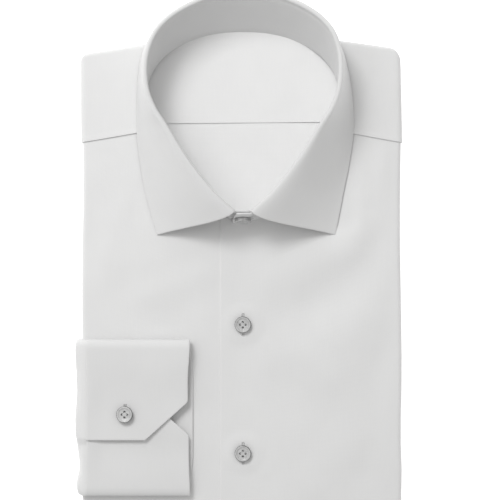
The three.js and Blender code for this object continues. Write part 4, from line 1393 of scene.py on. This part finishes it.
def stitches(name, pairs, normals, radius, sides=6):
    """Short arched lengths of thread, each from one point to another."""
    points, faces = [], []
    turn = np.arange(sides) * math.tau / sides
    around = [(j, (j + 1) % sides) for j in range(sides)]
    for (a, b), up in zip(pairs, normals):
        a, b, up = (np.asarray(v, float) for v in (a, b, up))
        run = (b - a) / max(np.linalg.norm(b - a), 1e-9)
        wide = np.cross(run, up)
        wide /= max(np.linalg.norm(wide), 1e-9)
        circle = np.cos(turn)[:, None] * wide + np.sin(turn)[:, None] * up
        first = len(points)
        for ring in STITCH_RINGS:
            middle = a + (b - a) * ring["share"] + up * radius * ring["lift"]
            points.extend(middle + radius * ring["size"] * circle)
        last = len(points) - sides
        for at in range(first, last, sides):
            faces += [(at + j, at + n, at + sides + n, at + sides + j) for j, n in around]
        faces.append([first + j for j in range(sides)][::-1])
        faces.append([last + j for j in range(sides)])
    return close_seams(new_object(name, np.array(points), faces), turn_outwards=True)


# %% Button thread
THREAD_RADIUS = 0.14
THREAD_DEEP = 0.97  # below the rim, on the floor of the dish
THREAD_APART = 0.16  # half the distance between the two turns of thread
THREAD_REACH = HOLE_CIRCLE + 0.1


def button_thread(node, button):
    """Two crossing stitches through the four holes of a button."""
    height = np.array([0, 0, BUTTON_THICK - THREAD_DEEP])
    pairs = []
    for angle in (0.0, math.pi / 2):
        along_it = np.array([math.cos(angle), math.sin(angle), 0])
        for shift in (-THREAD_APART, THREAD_APART):
            aside = np.array([-math.sin(angle), math.cos(angle), 0]) * shift
            reach = along_it * THREAD_REACH
            pairs.append((height - reach + aside, height + reach + aside))
    made = stitches(f"{node}_thread", pairs, [UP] * len(pairs), THREAD_RADIUS)
    made.data.transform(Matrix.Translation(Vector(-ORIGIN)))
    made.data.transform(seat(button))
    return made


button_threads = {node: report(button_thread(node, button)) for node, button in BUTTONS.items()}

# %% [markdown]
# ## Buttonholes
# A buttonhole is a slit between two dense rows of tiny stitches across it, closed by a bar at
# each end. It is longer than the button, so both of its ends look out from under it.

# %% Buttonholes
HOLE_LENGTH, COLLAR_HOLE_LENGTH = 15.5, 14.5
HOLE_LIP, HOLE_SLIT = 1.0, 0.35  # how far a stitch reaches from the slit, and the slit's width
HOLE_PITCH = 0.42
HOLE_THREAD_RADIUS = 0.2


def buttonhole(name, middle, run, up, length=HOLE_LENGTH):
    """A buttonhole about its middle, running along run on a surface that faces up."""
    run, up = np.asarray(run, float), np.asarray(up, float)
    wide = np.cross(run, up)
    pairs = []
    for at in np.arange(-length / 2, length / 2, HOLE_PITCH):
        for side in (-1, 1):
            start = middle + run * at + wide * side * HOLE_SLIT / 2
            pairs.append((start, start + wide * side * HOLE_LIP))
    half = HOLE_SLIT / 2 + HOLE_LIP
    for end in (-1, 1):
        for shift in (0.0, 0.35):
            start = middle + run * end * (length / 2 + shift)
            pairs.append((start - wide * half, start + wide * half))
    return stitches(name, pairs, [up] * len(pairs), HOLE_THREAD_RADIUS, sides=5)


holes = [
    buttonhole("front_buttonhole_1", np.array([0, BUTTON_YS[0], FRONT_TOP]), (0, 1, 0), UP),
    buttonhole("front_buttonhole_2", np.array([0, BUTTON_YS[1], FRONT_TOP]), (0, 1, 0), UP),
    buttonhole("cuff_buttonhole", np.array([CUFF_BUTTON[0], CUFF_BUTTON[1] - 0.6, CUFF_TOP]),
               (0, 1, 0), UP),
    buttonhole("collar_buttonhole", collar_place - stand_normal * GAP, (1, 0, 0), stand_normal,
               COLLAR_HOLE_LENGTH),
]
for hole in holes:
    report(hole)

# %% [markdown]
# ## Light and floor
# A soft box at the upper left is the main light, so the collar shades its own inside and
# throws a soft shadow down the front. A weaker one lower on the left reaches under it, and a
# pale sky fills the rest. The floor is a plain white light table.

# %% Materials on the pieces
cloth_pieces = [right_front, left_front, yoke, *layers, sleeve, *hidden.values()]
inside_pieces = [inner_yoke_piece, back]
stiff_pieces = [leaf, stand, cuff]
thread_pieces = [*button_threads.values(), *holes]
for pieces, material in ((cloth_pieces, poplin), (stiff_pieces, stiffened_shaded_poplin),
                         (inside_pieces, inside), (button_threads.values(), thread),
                         (holes, buttonhole_shade_thread)):
    for piece in pieces:
        piece.data.materials.append(material)
print("covered:", len(cloth_pieces) + len(inside_pieces) + len(stiff_pieces), "pieces of cloth")

# %% Floor, sky and soft boxes
FLOOR_SIZE = 8.0
UNDER_SHIRT = 0.2 * MM
TABLE_GLOW = 0.52
SKY_STRENGTH = 0.575
AIM = (0, 0, 0.02)


def plain_floor():
    """A wide white floor under the shirt."""
    bpy.ops.object.select_all(action="DESELECT")
    bpy.ops.mesh.primitive_plane_add(size=FLOOR_SIZE, location=(0, 0, -UNDER_SHIRT))
    made = bpy.context.active_object
    made.name = "floor"
    m = empty_material("opal_light_table")
    matt = add_node(m, "BsdfDiffuse", {"Color": linear("#FAFAFA")})
    glow = add_node(m, "Emission", {"Color": linear("#FFFFFF"), "Strength": TABLE_GLOW})
    both = add_node(m, "AddShader", i0=matt, i1=glow)
    add_node(m, "OutputMaterial", Surface=both)
    made.data.materials.append(m)
    return made


def soft_box(name, place, size, watts):
    """A square soft light that faces the shirt."""
    data = bpy.data.lights.new(name, "AREA")
    data.shape = "SQUARE"
    data.size = size
    data.energy = watts
    lamp = bpy.data.objects.new(name, data)
    bpy.context.scene.collection.objects.link(lamp)
    lamp.location = place
    lamp.rotation_euler = (Vector(AIM) - Vector(place)).to_track_quat("-Z", "Y").to_euler()
    lamp.visible_camera = False
    return lamp


floor = plain_floor()
soft_box("key_soft_box", (-0.58, 1.12, 1.5), 0.6, 15.6)
soft_box("low_soft_box", (-0.5, 0.35, 0.8), 0.5, 1.35)

world = bpy.data.worlds.new("pale_sky")
bpy.context.scene.world = world
world.use_nodes = True
sky = world.node_tree.nodes["Background"].inputs
sky["Color"].default_value = (1.0, 0.998, 0.99, 1.0)
sky["Strength"].default_value = SKY_STRENGTH
bpy.context.scene.view_settings.view_transform = "Standard"
bpy.context.scene.view_settings.look = "None"
print("lights:", [light.name for light in bpy.data.lights])

# %% [markdown]
# ## Hand over to the frame
# The solid that each piece stands for is hidden, and every piece of cloth, thread and resin
# moves with the root body.

# %% Replace and ride
REPLACED = {
    "right_front": right_front, "left_front": left_front, "yoke": yoke, "back_panel": back,
    "folded_layers": layers[0], "collar_stand": stand, "collar_leaf": leaf, "right_cuff": cuff,
    "right_sleeve": sleeve, **hidden, **buttons,
}
for node, piece in REPLACED.items():
    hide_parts(node)
for piece in [*cloth_pieces, *stiff_pieces, *inside_pieces, *thread_pieces, *buttons.values()]:
    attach(piece, "root")
